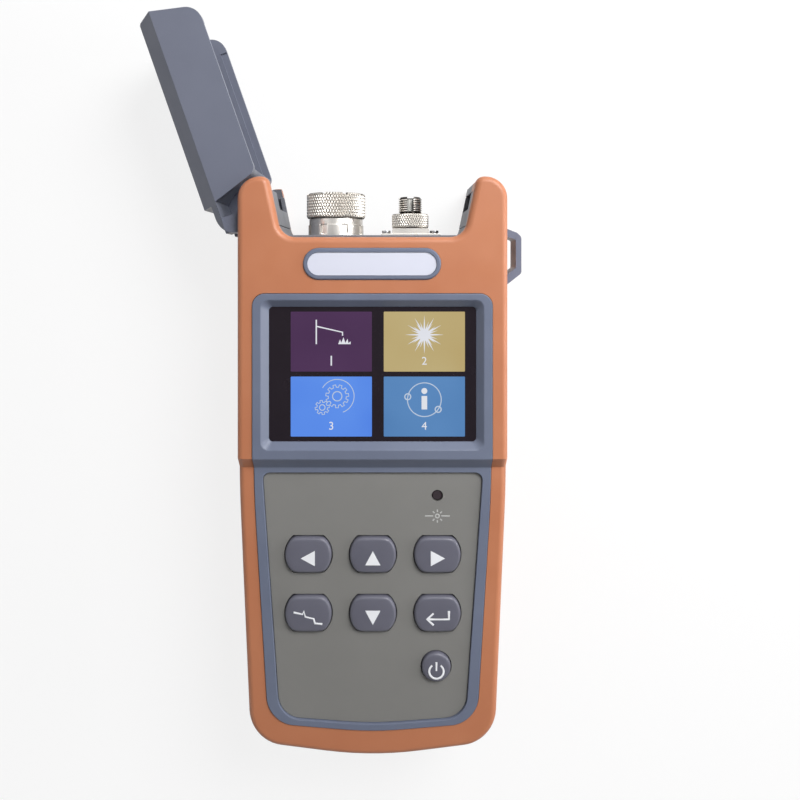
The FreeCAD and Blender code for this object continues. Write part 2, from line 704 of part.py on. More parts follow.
def key_mat():
    """Silicone sheet with a dome under each key."""
    z0 = key_board_z()[1]
    top = z0 + MAT_SHEET
    sheet = prism(key_board_outline(), z0, top, -MAT_INSET)
    domes = [Part.makeCone(DOME_R, DOME_R - DOME_TAPER, MAT_DOME, vec(x, y, top))
             for x in KEY_COLUMNS for y in KEY_ROWS]
    domes.append(Part.makeCone(POWER_DOME_R, POWER_DOME_R - DOME_TAPER, MAT_DOME, vec(POWER_X, POWER_Y, top)))
    cuts = [rod_z(side * PEG_X, y, PEG_R + FIT_GAP, 0, BIG) for y in PEG_ROWS for side in (1, -1)]
    cuts.append(rod_z(LED_X, LED_Y, LED_DIA / 2 + FIT_GAP, 0, BIG))
    return union([sheet] + domes).cut(cuts)


def plate_frame():
    """Raised stadium frame with a pocket for the plate."""
    frame = stadium(PLATE_X, PLATE_Y, FRAME_W, FRAME_H, TOP - FRAME_SEAT, TOP + FRAME_PROUD)
    rim = [e for e in frame.Edges if e.BoundBox.ZMin > TOP + FRAME_PROUD - 1e-6]
    frame = frame.makeChamfer(FRAME_EDGE, rim)
    floor = TOP + FRAME_PROUD - PLATE_SUNK - PLATE_THICK
    return frame.cut(stadium(PLATE_X, PLATE_Y, PLATE_W + FIT_GAP, PLATE_H + FIT_GAP, floor, BIG))


def name_plate():
    top = TOP + FRAME_PROUD - PLATE_SUNK
    return stadium(PLATE_X, PLATE_Y, PLATE_W, PLATE_H, top - PLATE_THICK, top)


# ---------------------------------------------------------------- inside pieces
def main_board():
    half = HALF_WIDTH - WALL - BOARD_SIDE_GAP
    board = block(-half, half, BOARD_LOW_Y, BOARD_TOP_Y, MAIN_BOARD_Z, MAIN_BOARD_Z + BOARD_THICK)
    holes = [rod_z(x, y, BOSS_R + FIT_GAP, 0, BIG) for x, y in case_screw_places()]
    chips = [block(x, x + w, y, y + h, MAIN_BOARD_Z - CHIP_THICK, MAIN_BOARD_Z) for x, y, w, h in CHIPS]
    return union([board.cut(holes)] + chips)


def otdr_module():
    """Screened measuring unit on four feet under the main board."""
    x0, x1 = OTDR_X + MODULE_SHIFT - MODULE_HALF, OTDR_X + MODULE_SHIFT + MODULE_HALF
    y0 = SHANK_Y - MODULE_LENGTH
    top = MAIN_BOARD_Z - MODULE_TOP_GAP
    case = block(x0, x1, y0, SHANK_Y, MODULE_Z0, top)
    seam = block(x0 - MODULE_SEAM, x1 + MODULE_SEAM, y0 - MODULE_SEAM, SHANK_Y, SEAM_Z, SEAM_Z + SEAM_H)
    side, low, high = FOOT_INSET
    feet = [rod_z(x, y, FOOT_R, top, MAIN_BOARD_Z)
            for x in (x0 + side, x1 - side) for y in (y0 + low, SHANK_Y - high)]
    return union([case, seam] + feet)


def vfl_laser_module():
    """Laser barrel in a saddle that hangs from the main board."""
    barrel = rod_y(VFL_X, PORT_Z, LASER_R, SHANK_Y - LASER_LENGTH, SHANK_Y)
    collar = rod_y(VFL_X, PORT_Z, LASER_COLLAR_R, SHANK_Y - LASER_COLLAR[1], SHANK_Y - LASER_COLLAR[0])
    saddle = block(VFL_X - SADDLE_HALF, VFL_X + SADDLE_HALF, SHANK_Y - SADDLE[1], SHANK_Y - SADDLE[0],
                   PORT_Z, MAIN_BOARD_Z)
    return union([barrel, collar, saddle])


def usb_socket():
    """Folded metal socket with its tongue, on the underside of the main board."""
    x1 = HALF_WIDTH - USB_INSET
    x0 = x1 - USB_DEPTH
    y0, y1 = USB_Y - USB_W / 2, USB_Y + USB_W / 2
    z1 = MAIN_BOARD_Z
    z0 = z1 - USB_H
    can = block(x0, x1, y0, y1, z0, z1)
    room = block(x0 + USB_BACK, x1 + 1, y0 + USB_WALL, y1 - USB_WALL, z0 + USB_WALL, z1 - USB_WALL)
    back, front, side = TONGUE_INSET
    middle = (z0 + z1) / 2
    half = TONGUE_THICK / 2
    tongue = block(x0 + back, x1 - front, y0 + side, y1 - side, middle - half, middle + half)
    return union([can.cut(room), tongue])


# ---------------------------------------------------------------- port bay
def notch_outline(low, extra, corner):
    """Outline of the notch between the horns, with its floor at low and its sides moved out."""
    return mirrored([(notch_side(low, extra), low, corner),
                     (notch_side(HORN_TOP + 1, extra), HORN_TOP + 1, 0)])


def notch_room():
    """Space between the cheeks of the liner, from ear to ear."""
    return prism(notch_outline(DECK_Y, LINER_SETBACK, LINER_ROUND), EAR_Z0, EAR_Z1)


def cover_sweep():
    """Space that the side walls of the cover pass through beside the hinge."""
    band = COVER_GAP + COVER_WALL + RUN_GAP
    bands = [rod_z(PIVOT_X, PIVOT_Y, BIG, EAR_Z0, EAR_Z0 + band),
             rod_z(PIVOT_X, PIVOT_Y, BIG, EAR_Z1 - band, EAR_Z1)]
    reach = rod_z(PIVOT_X, PIVOT_Y, near_wall_distance() - RUN_GAP, 0, BIG)
    return union(bands).cut(reach).common(block(-BIG, 0, PIVOT_Y, BIG, 0, BIG))


def port_liner():
    """Grey lining of the notch: the port deck and two slotted cheeks that stand on its ends."""
    z0, z1 = EAR_Z0 + LINER_GAP, EAR_Z1 - LINER_GAP
    deck_low = DECK_Y - LINER_THICK
    outline = notch_outline(deck_low, LINER_SETBACK + LINER_THICK, LINER_ROUND + LINER_THICK)
    liner = prism(outline, z0, z1).cut(notch_room())
    roof = HORN_TOP - WALL - LINER_GAP
    above = block(-BIG, BIG, roof, BIG, -BIG, BIG)
    slots = block(-BIG, BIG, SLOT_BOTTOM, BIG, SLOT_Z0, SLOT_Z1)
    seam = DECK_Y + LINER_ROUND
    seams = block(-BIG, BIG, seam, seam + LINER_SEAM, -BIG, BIG)
    liner = liner.cut([above, slots, seams, cover_sweep()])
    otdr_hole = rod_y(OTDR_X, PORT_Z, OTDR_BARREL_R, deck_low - 1, DECK_Y + 1)
    vfl_hole = rod_y(VFL_X, PORT_Z, VFL_SHANK_R, deck_low - 1, DECK_Y + 1)
    screws = [rod_y(VFL_X + s * VFL_SCREW_X, PORT_Z, VFL_SCREW_R, deck_low - 1, DECK_Y + 1) for s in (1, -1)]
    return liner.cut([otdr_hole, vfl_hole] + screws).removeSplitter()


def near_wall_distance():
    """Nearest distance from the pivot to the hinge ends of the cover's side walls."""
    x0, y0, x1, y1 = COVER_NEAR_LOW, COVER_RIM, COVER_NEAR_HIGH, COVER_RIDGE
    return abs(x0 * y1 - x1 * y0) / math.hypot(x1 - x0, y1 - y0)


def otdr_port_base():
    """Slotted nut, collar and barrel turned from one bar, with its shank in the housing."""
    nut = rod_y(OTDR_X, PORT_Z, OTDR_NUT_R, DECK_Y, DECK_Y + OTDR_NUT_H)
    for i in range(NUT_SLOTS):
        slot = block(-NUT_SLOT_W / 2, NUT_SLOT_W / 2, DECK_Y + NUT_SLOT_BASE, DECK_Y + OTDR_NUT_H,
                     OTDR_NUT_R - NUT_SLOT_DEPTH, OTDR_NUT_R + 2)
        slot.rotate(vec(0, 0, 0), vec(0, 1, 0), 360 / NUT_SLOTS * (i + 0.5))
        slot.translate(vec(OTDR_X, 0, PORT_Z))
        nut = nut.cut(slot)
    collar_y = DECK_Y + OTDR_NUT_H
    neck = rod_y(OTDR_X, PORT_Z, OTDR_BARREL_R, SHANK_Y, RING_TOP_Y - BARREL_SUNK)
    collar = rod_y(OTDR_X, PORT_Z, OTDR_COLLAR_R, collar_y, RING_BASE_Y - RUN_GAP)
    bore = rod_y(OTDR_X, PORT_Z, OTDR_BARREL_R - OTDR_BARREL_WALL, collar_y, BIG)
    seat = rod_y(OTDR_X, PORT_Z, SLEEVE_R, SHANK_Y - 1, BIG)
    return union([nut, neck, collar]).cut([bore, seat])


def otdr_ferrule_sleeve():
    tube = rod_y(OTDR_X, PORT_Z, SLEEVE_R, SHANK_Y, RING_TOP_Y - OTDR_SLEEVE_SUNK)
    return tube.cut(rod_y(OTDR_X, PORT_Z, FERRULE_R, SHANK_Y + FERRULE_SEAT, BIG))


def turned_ring(x, radius, bore, y0, y1, chamfer):
    """Ring about the Y axis with chamfered outer edges."""
    section = Part.makePolygon([
        vec(bore, y0), vec(radius - chamfer, y0), vec(radius, y0 + chamfer), vec(radius, y1 - chamfer),
        vec(radius - chamfer, y1), vec(bore, y1), vec(bore, y0)])
    ring = Part.Face(section).revolve(vec(0, 0, 0), vec(0, 1, 0), 360)
    ring.translate(vec(x, 0, PORT_Z))
    return ring


def otdr_knurled_ring():
    return turned_ring(OTDR_X, RING_R, OTDR_BARREL_R + TURN_GAP, RING_BASE_Y, RING_TOP_Y, RING_CHAMFER)


def vfl_flange():
    """Flange plate with its raised block, held on the deck by two screws."""
    plate = block(VFL_X - VFL_FLANGE_W / 2, VFL_X + VFL_FLANGE_W / 2, DECK_Y, DECK_Y + VFL_FLANGE_H,
                  PORT_Z - VFL_FLANGE_D / 2, PORT_Z + VFL_FLANGE_D / 2)
    y0 = DECK_Y + VFL_FLANGE_H
    half = VFL_BLOCK_W / 2
    raised = block(VFL_X - half, VFL_X + half, y0, y0 + VFL_BLOCK_H, PORT_Z - half, PORT_Z + half)
    bore = rod_y(VFL_X, PORT_Z, VFL_SHANK_R, 0, BIG)
    screws = [rod_y(VFL_X + s * VFL_SCREW_X, PORT_Z, VFL_SCREW_R, 0, BIG) for s in (1, -1)]
    return union([plate, raised]).cut([bore] + screws)


def vfl_flange_screws():
    y0 = DECK_Y + VFL_FLANGE_H
    screws = []
    for side in (1, -1):
        x = VFL_X + side * VFL_SCREW_X
        head = rod_y(x, PORT_Z, VFL_SCREW_HEAD_R, y0, y0 + VFL_SCREW_HEAD_H)
        drive = block(x - VFL_SCREW_HEAD_R, x + VFL_SCREW_HEAD_R, y0 + VFL_SCREW_HEAD_H - VFL_DRIVE_W, BIG,
                      PORT_Z - VFL_DRIVE_W / 2, PORT_Z + VFL_DRIVE_W / 2)
        screws.append(head.fuse(rod_y(x, PORT_Z, VFL_SCREW_R, DECK_Y - VFL_SCREW_LENGTH, y0)).cut(drive))
    return Part.makeCompound(screws)


def vfl_adaptor():
    """Threaded barrel with the key slot of the plug, through the flange to the laser."""
    start = VFL_NUT_TOP + RUN_GAP
    shank = rod_y(VFL_X, PORT_Z, VFL_SHANK_R, SHANK_Y, start)
    barrel = shank.fuse(rod_y(VFL_X, PORT_Z, VFL_THREAD_R, start, VFL_THREAD_TOP))
    bore = rod_y(VFL_X, PORT_Z, VFL_BORE_R, VFL_NUT_TOP - VFL_BORE_DEPTH, BIG)
    seat = rod_y(VFL_X, PORT_Z, SLEEVE_R, SHANK_Y - 1, BIG)
    slot = block(VFL_X - KEY_SLOT_W / 2, VFL_X + KEY_SLOT_W / 2, VFL_NUT_TOP + KEY_SLOT_RISE, BIG,
                 PORT_Z, BIG)
    return barrel.cut([bore, seat, slot])


def vfl_ferrule_sleeve():
    tube = rod_y(VFL_X, PORT_Z, SLEEVE_R, SHANK_Y, VFL_THREAD_TOP - VFL_SLEEVE_SUNK)
    return tube.cut(rod_y(VFL_X, PORT_Z, FERRULE_R, SHANK_Y + FERRULE_SEAT, BIG))


def vfl_knurled_nut():
    base = DECK_Y + VFL_FLANGE_H + VFL_BLOCK_H + RUN_GAP
    return turned_ring(VFL_X, VFL_NUT_R, VFL_THREAD_R + TURN_GAP, base, VFL_NUT_TOP, VFL_NUT_CHAMFER)


# ---------------------------------------------------------------- port cover
def swing_open(shape):
    """Turns a piece of the shut cover, drawn from the pivot, to its open place."""
    opened = shape.copy()
    opened.rotate(vec(0, 0, 0), vec(0, 0, 1), OPEN_ANGLE)
    opened.translate(vec(PIVOT_X, PIVOT_Y, 0))
    return opened


def far_side(y):
    """Far end of the cover at a height above the pivot."""
    return COVER_FAR_LOW + (COVER_FAR_HIGH - COVER_FAR_LOW) * (y - COVER_RIM) / (COVER_RIDGE - COVER_RIM)


def cover_levels():
    """Back and front faces of the cover between the ears."""
    return EAR_Z0 + COVER_GAP, EAR_Z1 - COVER_GAP


def cover_tray():
    """Tray between the ears: bevelled outer face, slanted ends and a lip along the open rim."""
    z0, z1 = cover_levels()
    near_top = COVER_NEAR_HIGH - COVER_SLANT
    outline = [(COVER_NEAR_LOW, COVER_RIM, COVER_NEAR_ROUND), (COVER_FAR_LOW, COVER_RIM, COVER_FAR_ROUND),
               (COVER_FAR_HIGH, COVER_RIDGE, COVER_TOP_ROUND),
               (COVER_FAR_HIGH - COVER_SLANT, COVER_TOP, COVER_TOP_ROUND),
               (near_top, COVER_TOP, 0), (COVER_NEAR_HIGH, COVER_RIDGE, 0)]
    inner_top = COVER_TOP - COVER_WALL
    below = COVER_RIM - COVER_FAR_ROUND
    room = [(0, below, 0), (far_side(below) - COVER_END_WALL, below, 0),
            (COVER_FAR_HIGH - COVER_END_WALL, COVER_RIDGE, COVER_TOP_ROUND),
            (COVER_FAR_HIGH - COVER_END_WALL - COVER_SLANT, inner_top, COVER_TOP_ROUND), (0, inner_top, 0)]
    room = prism(room, z0 + COVER_WALL, z1 - COVER_WALL)
    room = room.cut([bevel_cutter(True, COVER_WALL), bevel_cutter(False, COVER_WALL)])
    end_wall = rod_z(0, 0, END_FAR_R, 0, BIG).cut(rod_z(0, 0, END_NEAR_R, 0, BIG))
    corner_room = block(COVER_FAR_LOW - COVER_FAR_ROUND, BIG, below, COVER_RIM + COVER_FAR_ROUND,
                        z0 + COVER_WALL, z1 - COVER_WALL)
    thin = COVER_WALL - LIP_STEP
    lip_room = block(COVER_NEAR_LOW + COVER_NEAR_ROUND, COVER_FAR_LOW - COVER_FAR_ROUND, below,
                     COVER_RIM + LIP_WIDTH, z0 + thin, z1 - thin)
    return prism(outline, z0, z1).cut([room.cut(end_wall), corner_room, lip_room])


def bevel_cutter(front, wall=0.0):
    """Wedge that bevels the outer long edge of the cover on one side, or its room a wall further in."""
    z0, z1 = cover_levels()
    edge, way = (z1, 1) if front else (z0, -1)
    low = COVER_RIDGE - wall * math.sqrt(2)
    high = COVER_TOP + 1
    triangle = Part.makePolygon([
        vec(-BIG, low, edge), vec(-BIG, high, edge - way * (high - low)),
        vec(-BIG, high, edge + way), vec(-BIG, low, edge + way), vec(-BIG, low, edge)])
    return Part.Face(triangle).extrude(vec(2 * BIG, 0, 0))


def cover_lug():
    """Thin skin over the horn's side that carries the tray, with the web that lifts it to the tray's top."""
    z0, z1 = cover_levels()
    side = -HINGE_INSET
    web_x = COVER_NEAR_HIGH - COVER_SLANT
    join = web_x + LUG_WEB
    under = LUG_TOP - COVER_WALL
    skin = prism([(side, LUG_END, 0.6), (side + LUG_SKIN, LUG_END, 0.6),
                  (side + LUG_SKIN, under, HORN_ROUND - LUG_SKIN), (join, under, 0),
                  (join, LUG_TOP, 0), (side, LUG_TOP, HORN_ROUND)], z0, z1)
    return skin.fuse(block(web_x, join, under, COVER_TOP - BARREL_INSET, z0, z1))


def port_cover():
    """Swinging dust cover with its lug, hinge barrels, arm and latch tab."""
    z1 = cover_levels()[1]
    side = 1 - HINGE_INSET
    arm_z0, arm_z1 = SLOT_Z0 + ARM_GAP, SLOT_Z1 - ARM_GAP
    arm = block(side, END_FAR_R, ARM_BOTTOM, LUG_TOP - 1, arm_z0, arm_z1)
    arm = arm.common(rod_z(0, 0, END_FAR_R, 0, BIG))
    web_z0, web_z1 = z1 - BARREL_INSET - BARREL_LENGTH, z1 - BARREL_INSET
    web = block(side, 2, 0, LUG_TOP - 2, web_z0, web_z1)
    barrels = [rod_z(0, 0, BARREL_R, arm_z0, arm_z1), rod_z(0, 0, BARREL_R, web_z0, web_z1)]
    tab_top = TAB_LOW + TAB_THICK
    tab = block(far_side(TAB_LOW) - COVER_END_WALL / 2, far_side(tab_top) + TAB_REACH, TAB_LOW, tab_top,
                SLOT_Z0 + TAB_INSET, SLOT_Z1 - TAB_INSET)
    cover = union([cover_tray(), cover_lug(), arm, web, tab] + barrels)
    cover = cover.cut([bevel_cutter(True), bevel_cutter(False), rod_z(0, 0, PIN_R + PIN_GAP, 0, BIG)])
    return swing_open(cover.removeSplitter())


def cover_seal():
    """Soft pad on the inner face of the cover, over the port mouths."""
    top = COVER_TOP - COVER_WALL
    z0, z1 = cover_levels()
    inset = COVER_TOP - COVER_WALL - COVER_RIDGE + COVER_WALL * math.sqrt(2) + SEAL_INSET
    far = COVER_FAR_HIGH - SEAL_END_GAP
    return swing_open(block(SEAL_X0, far, top - SEAL_THICK, top, z0 + inset, z1 - inset))


def hinge_pin():
    return rod_z(PIVOT_X, PIVOT_Y, PIN_R, EAR_Z0 - PIN_SEAT, EAR_Z1 + PIN_SEAT)


def hinge_spring():
    """Closely wound spring on the pin, with its leg along the inside of the lug."""
    start = SLOT_Z1 + 2 * RUN_GAP
    inner = SPRING_R - SPRING_WIRE / 2
    outer = SPRING_R + SPRING_WIRE / 2
    points = [vec(inner, 0, start)]
    for turn in range(SPRING_TURNS):
        base = start + turn * SPRING_WIRE
        points += [vec(SPRING_R, 0, base), vec(outer, 0, base + SPRING_WIRE / 2)]
    height = start + SPRING_TURNS * SPRING_WIRE
    points += [vec(SPRING_R, 0, height), vec(inner, 0, height), vec(inner, 0, start)]
    coil = Part.Face(Part.makePolygon(points)).revolve(vec(0, 0, 0), vec(0, 0, 1), 360)
    leg_z = height - SPRING_WIRE / 2
    leg = Part.makeCylinder(SPRING_WIRE / 2, SPRING_LEG, vec(SPRING_R, 0, leg_z), vec(0, 1, 0))
    return swing_open(coil.fuse(leg))


# ---------------------------------------------------------------- strap loop
def loop_corners(extra):
    """Outer outline of the loop, grown by extra where it runs through the wall."""
    x = LOOP_OUT_X
    root = HALF_WIDTH - WALL
    return [(root, LOOP_ROOT_LOW - extra, 0), (x, LOOP_LOW - extra, LOOP_BEND),
            (x, LOOP_TOP - LOOP_CHAMFER, LOOP_BEND), (x - LOOP_CHAMFER, LOOP_TOP + extra, LOOP_BEND),
            (root, LOOP_ROOT_TOP + extra, 0)]


def loop_room(extra):
    x = LOOP_OUT_X - LOOP_BAR
    root = HALF_WIDTH - WALL - 1
    return [(root, LOOP_ROOT_LOW + LOOP_LEG + extra, 0), (x, LOOP_LOW + LOOP_BAR, LOOP_BEND / 2),
            (x, LOOP_TOP - LOOP_LEG, LOOP_BEND / 2), (root, LOOP_ROOT_TOP - LOOP_LEG - extra, 0)]


def loop_ring(extra):
    z0, z1 = LOOP_Z - LOOP_WIDTH / 2 - extra, LOOP_Z + LOOP_WIDTH / 2 + extra
    return prism(loop_corners(extra), z0, z1).cut(prism(loop_room(extra), z0 - 1, z1 + 1))


def strap_loop():
    """Loop clamped between the halves by a flange behind the wall."""
    root = HALF_WIDTH - WALL
    thick, gap, reach, rise = LOOP_FLANGE
    y0, y1 = LOOP_ROOT_LOW - reach, LOOP_ROOT_TOP + reach
    flange = block(root - thick, root - gap, y0, y1, LOOP_Z - rise, LOOP_Z + rise)
    half, height, width = LOOP_LINK
    links = [block(root - half, root + half, y, y + height, LOOP_Z - width, LOOP_Z + width)
             for y in (LOOP_ROOT_LOW, LOOP_ROOT_TOP - height)]
    return union([loop_ring(0), flange] + links)


def main():
    os.makedirs("parts", exist_ok=True)
    save("front_shell", front_shell())
    save("rear_shell", rear_shell())
    save("case_screws", case_screws())
    save("battery_door", battery_door())
    save("battery_door_screws", battery_door_screws())
    save("battery_pack", battery_pack())
    save("front_bezel", front_bezel())
    save("screen_window", screen_window())
    save("lcd_module", lcd_module())
    save("keypad_panel", keypad_panel())
    names = ("key_left", "key_scan", "key_up", "key_down", "key_right", "key_enter")
    places = [(x, y) for x in KEY_COLUMNS for y in KEY_ROWS]
    for name, (x, y) in zip(names, places):
        save(name, key_cap(x, y))
    save("key_power", power_key())
    save("status_led", status_led())
    save("keypad_board", keypad_board())
    save("key_mat", key_mat())
    save("plate_frame", plate_frame())
    save("name_plate", name_plate())
    save("main_board", main_board())
    save("otdr_module", otdr_module())
    save("vfl_laser_module", vfl_laser_module())
    save("usb_socket", usb_socket())
    save("port_liner", port_liner())
    save("otdr_port_base", otdr_port_base())
    save("otdr_ferrule_sleeve", otdr_ferrule_sleeve())
    save("otdr_knurled_ring", otdr_knurled_ring())
    save("vfl_flange", vfl_flange())
    save("vfl_flange_screws", vfl_flange_screws())
    save("vfl_adaptor", vfl_adaptor())
    save("vfl_ferrule_sleeve", vfl_ferrule_sleeve())
    save("vfl_knurled_nut", vfl_knurled_nut())
    save("port_cover", port_cover())
    save("cover_seal", cover_seal())
    save("hinge_pin", hinge_pin())
    save("hinge_spring", hinge_spring())
    save("strap_loop", strap_loop())


main()
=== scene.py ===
# %% [markdown]
# # A handheld optical time domain reflectometer
#
# The unit lies on its back. Its housing, ports and hinge come from the CAD frame, which fixes every
# size. This lesson dresses that frame: it softens the moulded edges, models the keys, the knurled
# rings, the thread and the screen's picture, and gives each piece a finish made of nodes.

# %% Load the frame
import math

import bmesh
import bpy
from mathutils import Matrix, Vector


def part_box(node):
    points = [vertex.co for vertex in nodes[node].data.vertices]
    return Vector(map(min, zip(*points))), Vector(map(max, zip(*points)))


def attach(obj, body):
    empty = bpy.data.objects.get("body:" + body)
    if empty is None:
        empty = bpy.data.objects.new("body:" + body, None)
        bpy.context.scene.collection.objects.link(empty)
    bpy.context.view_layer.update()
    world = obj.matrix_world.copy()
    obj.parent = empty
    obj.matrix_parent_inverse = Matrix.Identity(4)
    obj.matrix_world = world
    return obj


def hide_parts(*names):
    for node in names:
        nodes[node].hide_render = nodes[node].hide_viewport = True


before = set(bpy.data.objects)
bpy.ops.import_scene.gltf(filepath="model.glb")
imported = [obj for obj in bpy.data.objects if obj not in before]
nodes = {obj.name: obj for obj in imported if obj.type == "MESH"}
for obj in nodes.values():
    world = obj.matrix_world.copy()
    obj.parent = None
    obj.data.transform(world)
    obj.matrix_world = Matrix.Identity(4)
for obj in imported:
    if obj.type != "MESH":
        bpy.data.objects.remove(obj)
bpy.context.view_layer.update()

MM = 0.001
TOLERANCE = 0.01 * MM

# %% [markdown]
# ## Small helpers
#
# Every new piece starts as a bmesh, is shaped by bmesh operators, and ends as an object at the origin
# with its place in its mesh. A piece could carry its place in its object transform instead, but a
# pattern that reads Object coordinates would then turn with the piece, so the mesh holds the place.

# %% Helpers for pieces
def finish_piece(bm, name, body, material, smooth=math.radians(40)):
    """Turns a bmesh into a piece that rides on a body and wears one material."""
    bmesh.ops.recalc_face_normals(bm, faces=bm.faces)
    mesh = bpy.data.meshes.new(name)
    bm.to_mesh(mesh)
    bm.free()
    mesh.shade_smooth()
    mesh.set_sharp_from_angle(angle=smooth)
    piece = bpy.data.objects.new(name, mesh)
    bpy.context.scene.collection.objects.link(piece)
    mesh.materials.append(material)
    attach(piece, body)
    return piece


def centre(node):
    """Middle of a CAD node's box."""
    low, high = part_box(node)
    return (low + high) / 2


def move(bm, x=0.0, y=0.0, z=0.0):
    bmesh.ops.translate(bm, verts=bm.verts, vec=(x, y, z))


def stack(bm, loops):
    """Joins closed loops of points, from the lowest to the highest, into one closed skin."""
    rows = []
    for points in loops:
        verts = [bm.verts.new(point) for point in points]
        rows.append([bm.edges.new(pair) for pair in zip(verts, verts[1:] + verts[:1])])
    for below, above in zip(rows, rows[1:]):
        bmesh.ops.bridge_loops(bm, edges=below + above)
    bmesh.ops.edgenet_fill(bm, edges=rows[0])
    bmesh.ops.edgenet_fill(bm, edges=rows[-1])


def spun(points, steps, angle=2 * math.pi, climb=0.0):
    """Spins a closed outline about the Y axis, and lets it rise by climb in each step."""
    bm = bmesh.new()
    chain = [bm.verts.new((r, y, 0)) for r, y in points]
    edges = [bm.edges.new(pair) for pair in zip(chain, chain[1:] + chain[:1])]
    bmesh.ops.spin(bm, geom=chain + edges, cent=(0, 0, 0), axis=(0, 1, 0), dvec=(0, climb, 0), angle=angle,
                   steps=steps, use_merge=climb == 0.0)
    if climb:
        bmesh.ops.holes_fill(bm, edges=[edge for edge in bm.edges if edge.is_boundary], sides=0)
    return bm


# %% [markdown]
# ## Finishes
#
# Moulded plastic is never one flat colour. Its pigment clouds a little, its skin has a fine grain
# from the etched tool, and handling polishes it in patches. One node group makes those three effects
# from noise, and each material gives it its own strengths. The group hands back a colour, a roughness
# and a height, and the shader itself stays in the material.

# %% The moulded-skin group
def add_socket(group, way, name, kind, value=None):
    socket = group.interface.new_socket(name=name, in_out=way, socket_type="NodeSocket" + kind)
    if value is not None:
        socket.default_value = value
    return socket


def noise_node(tree, coordinates, scale, detail):
    noise = tree.nodes.new("ShaderNodeTexNoise")
    noise.inputs["Scale"].default_value = scale
    noise.inputs["Detail"].default_value = detail
    tree.links.new(coordinates, noise.inputs["Vector"])
    return noise.outputs["Fac"]


def ranged(tree, value, low, high):
    """Maps a noise value, which stays near the middle, to low and high."""
    node = tree.nodes.new("ShaderNodeMapRange")
    node.inputs["From Min"].default_value = 0.3
    node.inputs["From Max"].default_value = 0.7
    tree.links.new(value, node.inputs["Value"])
    for source, name in ((low, "To Min"), (high, "To Max")):
        if isinstance(source, (int, float)):
            node.inputs[name].default_value = source
        else:
            tree.links.new(source, node.inputs[name])
    return node.outputs["Result"]


def mixed(tree, factor, first, second):
    """A colour between two, by a factor."""
    node = tree.nodes.new("ShaderNodeMix")
    node.data_type = "RGBA"
    for source, socket in ((factor, node.inputs[0]), (first, node.inputs[6]), (second, node.inputs[7])):
        if isinstance(source, bpy.types.NodeSocket):
            tree.links.new(source, socket)
        else:
            socket.default_value = source
    return node.outputs[2]


CLOUD_SCALE, PATCH_SCALE, GRAIN_SCALE = 60.0, 140.0, 2600.0    # waves per metre


def moulded_skin_group():
    """Clouded colour, patchy roughness and fine grain of a moulded surface."""
    group = bpy.data.node_groups.new("moulded_skin", "ShaderNodeTree")
    add_socket(group, "INPUT", "Colour", "Color", (0.5, 0.5, 0.5, 1))
    add_socket(group, "INPUT", "Worn Colour", "Color", (0.6, 0.6, 0.6, 1))
    add_socket(group, "INPUT", "Clouding", "Float", 0.3)
    add_socket(group, "INPUT", "Smooth Roughness", "Float", 0.4)
    add_socket(group, "INPUT", "Dull Roughness", "Float", 0.6)
    add_socket(group, "OUTPUT", "Colour", "Color")
    add_socket(group, "OUTPUT", "Roughness", "Float")
    add_socket(group, "OUTPUT", "Height", "Float")
    given = group.nodes.new("NodeGroupInput")
    result = group.nodes.new("NodeGroupOutput")
    place = group.nodes.new("ShaderNodeTexCoord").outputs["Object"]
    clouds = ranged(group, noise_node(group, place, CLOUD_SCALE, 3.0), 0.0, given.outputs["Clouding"])
    patches = noise_node(group, place, PATCH_SCALE, 4.0)
    grain = noise_node(group, place, GRAIN_SCALE, 2.0)
    colour = mixed(group, clouds, given.outputs["Colour"], given.outputs["Worn Colour"])
    group.links.new(colour, result.inputs["Colour"])
    rough = ranged(group, patches, given.outputs["Smooth Roughness"], given.outputs["Dull Roughness"])
    group.links.new(rough, result.inputs["Roughness"])
    group.links.new(grain, result.inputs["Height"])
    return group


skin_group = moulded_skin_group()
print("group outputs:", [item.name for item in skin_group.interface.items_tree if item.in_out == "OUTPUT"])

# %% [markdown]
# A colour seen in daylight is written here as the eye reads it, from 0 to 255, and turned into the
# linear value that a shader wants. That keeps the numbers comparable with any colour picker.

# %% Colours and the moulded materials
def linear(red, green, blue):
    """Linear colour from 0 to 255 display values."""
    channels = []
    for value in (red, green, blue):
        share = value / 255
        channels.append(share / 12.92 if share <= 0.04045 else ((share + 0.055) / 1.055) ** 2.4)
    return (*channels, 1.0)


def new_material(name):
    material = bpy.data.materials.new(name)
    material.use_nodes = True
    return material, material.node_tree, material.node_tree.nodes["Principled BSDF"]


def moulded(name, colour, worn, clouding=0.4, smooth=0.42, dull=0.58, grain=0.05):
    """Material of a moulded plastic or rubber piece."""
    material, tree, shader = new_material(name)
    skin = tree.nodes.new("ShaderNodeGroup")
    skin.node_tree = skin_group
    skin.inputs["Colour"].default_value = colour
    skin.inputs["Worn Colour"].default_value = worn
    skin.inputs["Clouding"].default_value = clouding
    skin.inputs["Smooth Roughness"].default_value = smooth
    skin.inputs["Dull Roughness"].default_value = dull
    bump = tree.nodes.new("ShaderNodeBump")
    bump.inputs["Strength"].default_value = grain
    bump.inputs["Distance"].default_value = 0.1 * MM
    tree.links.new(skin.outputs["Colour"], shader.inputs["Base Color"])
    tree.links.new(skin.outputs["Roughness"], shader.inputs["Roughness"])
    tree.links.new(skin.outputs["Height"], bump.inputs["Height"])
    tree.links.new(bump.outputs["Normal"], shader.inputs["Normal"])
    return material


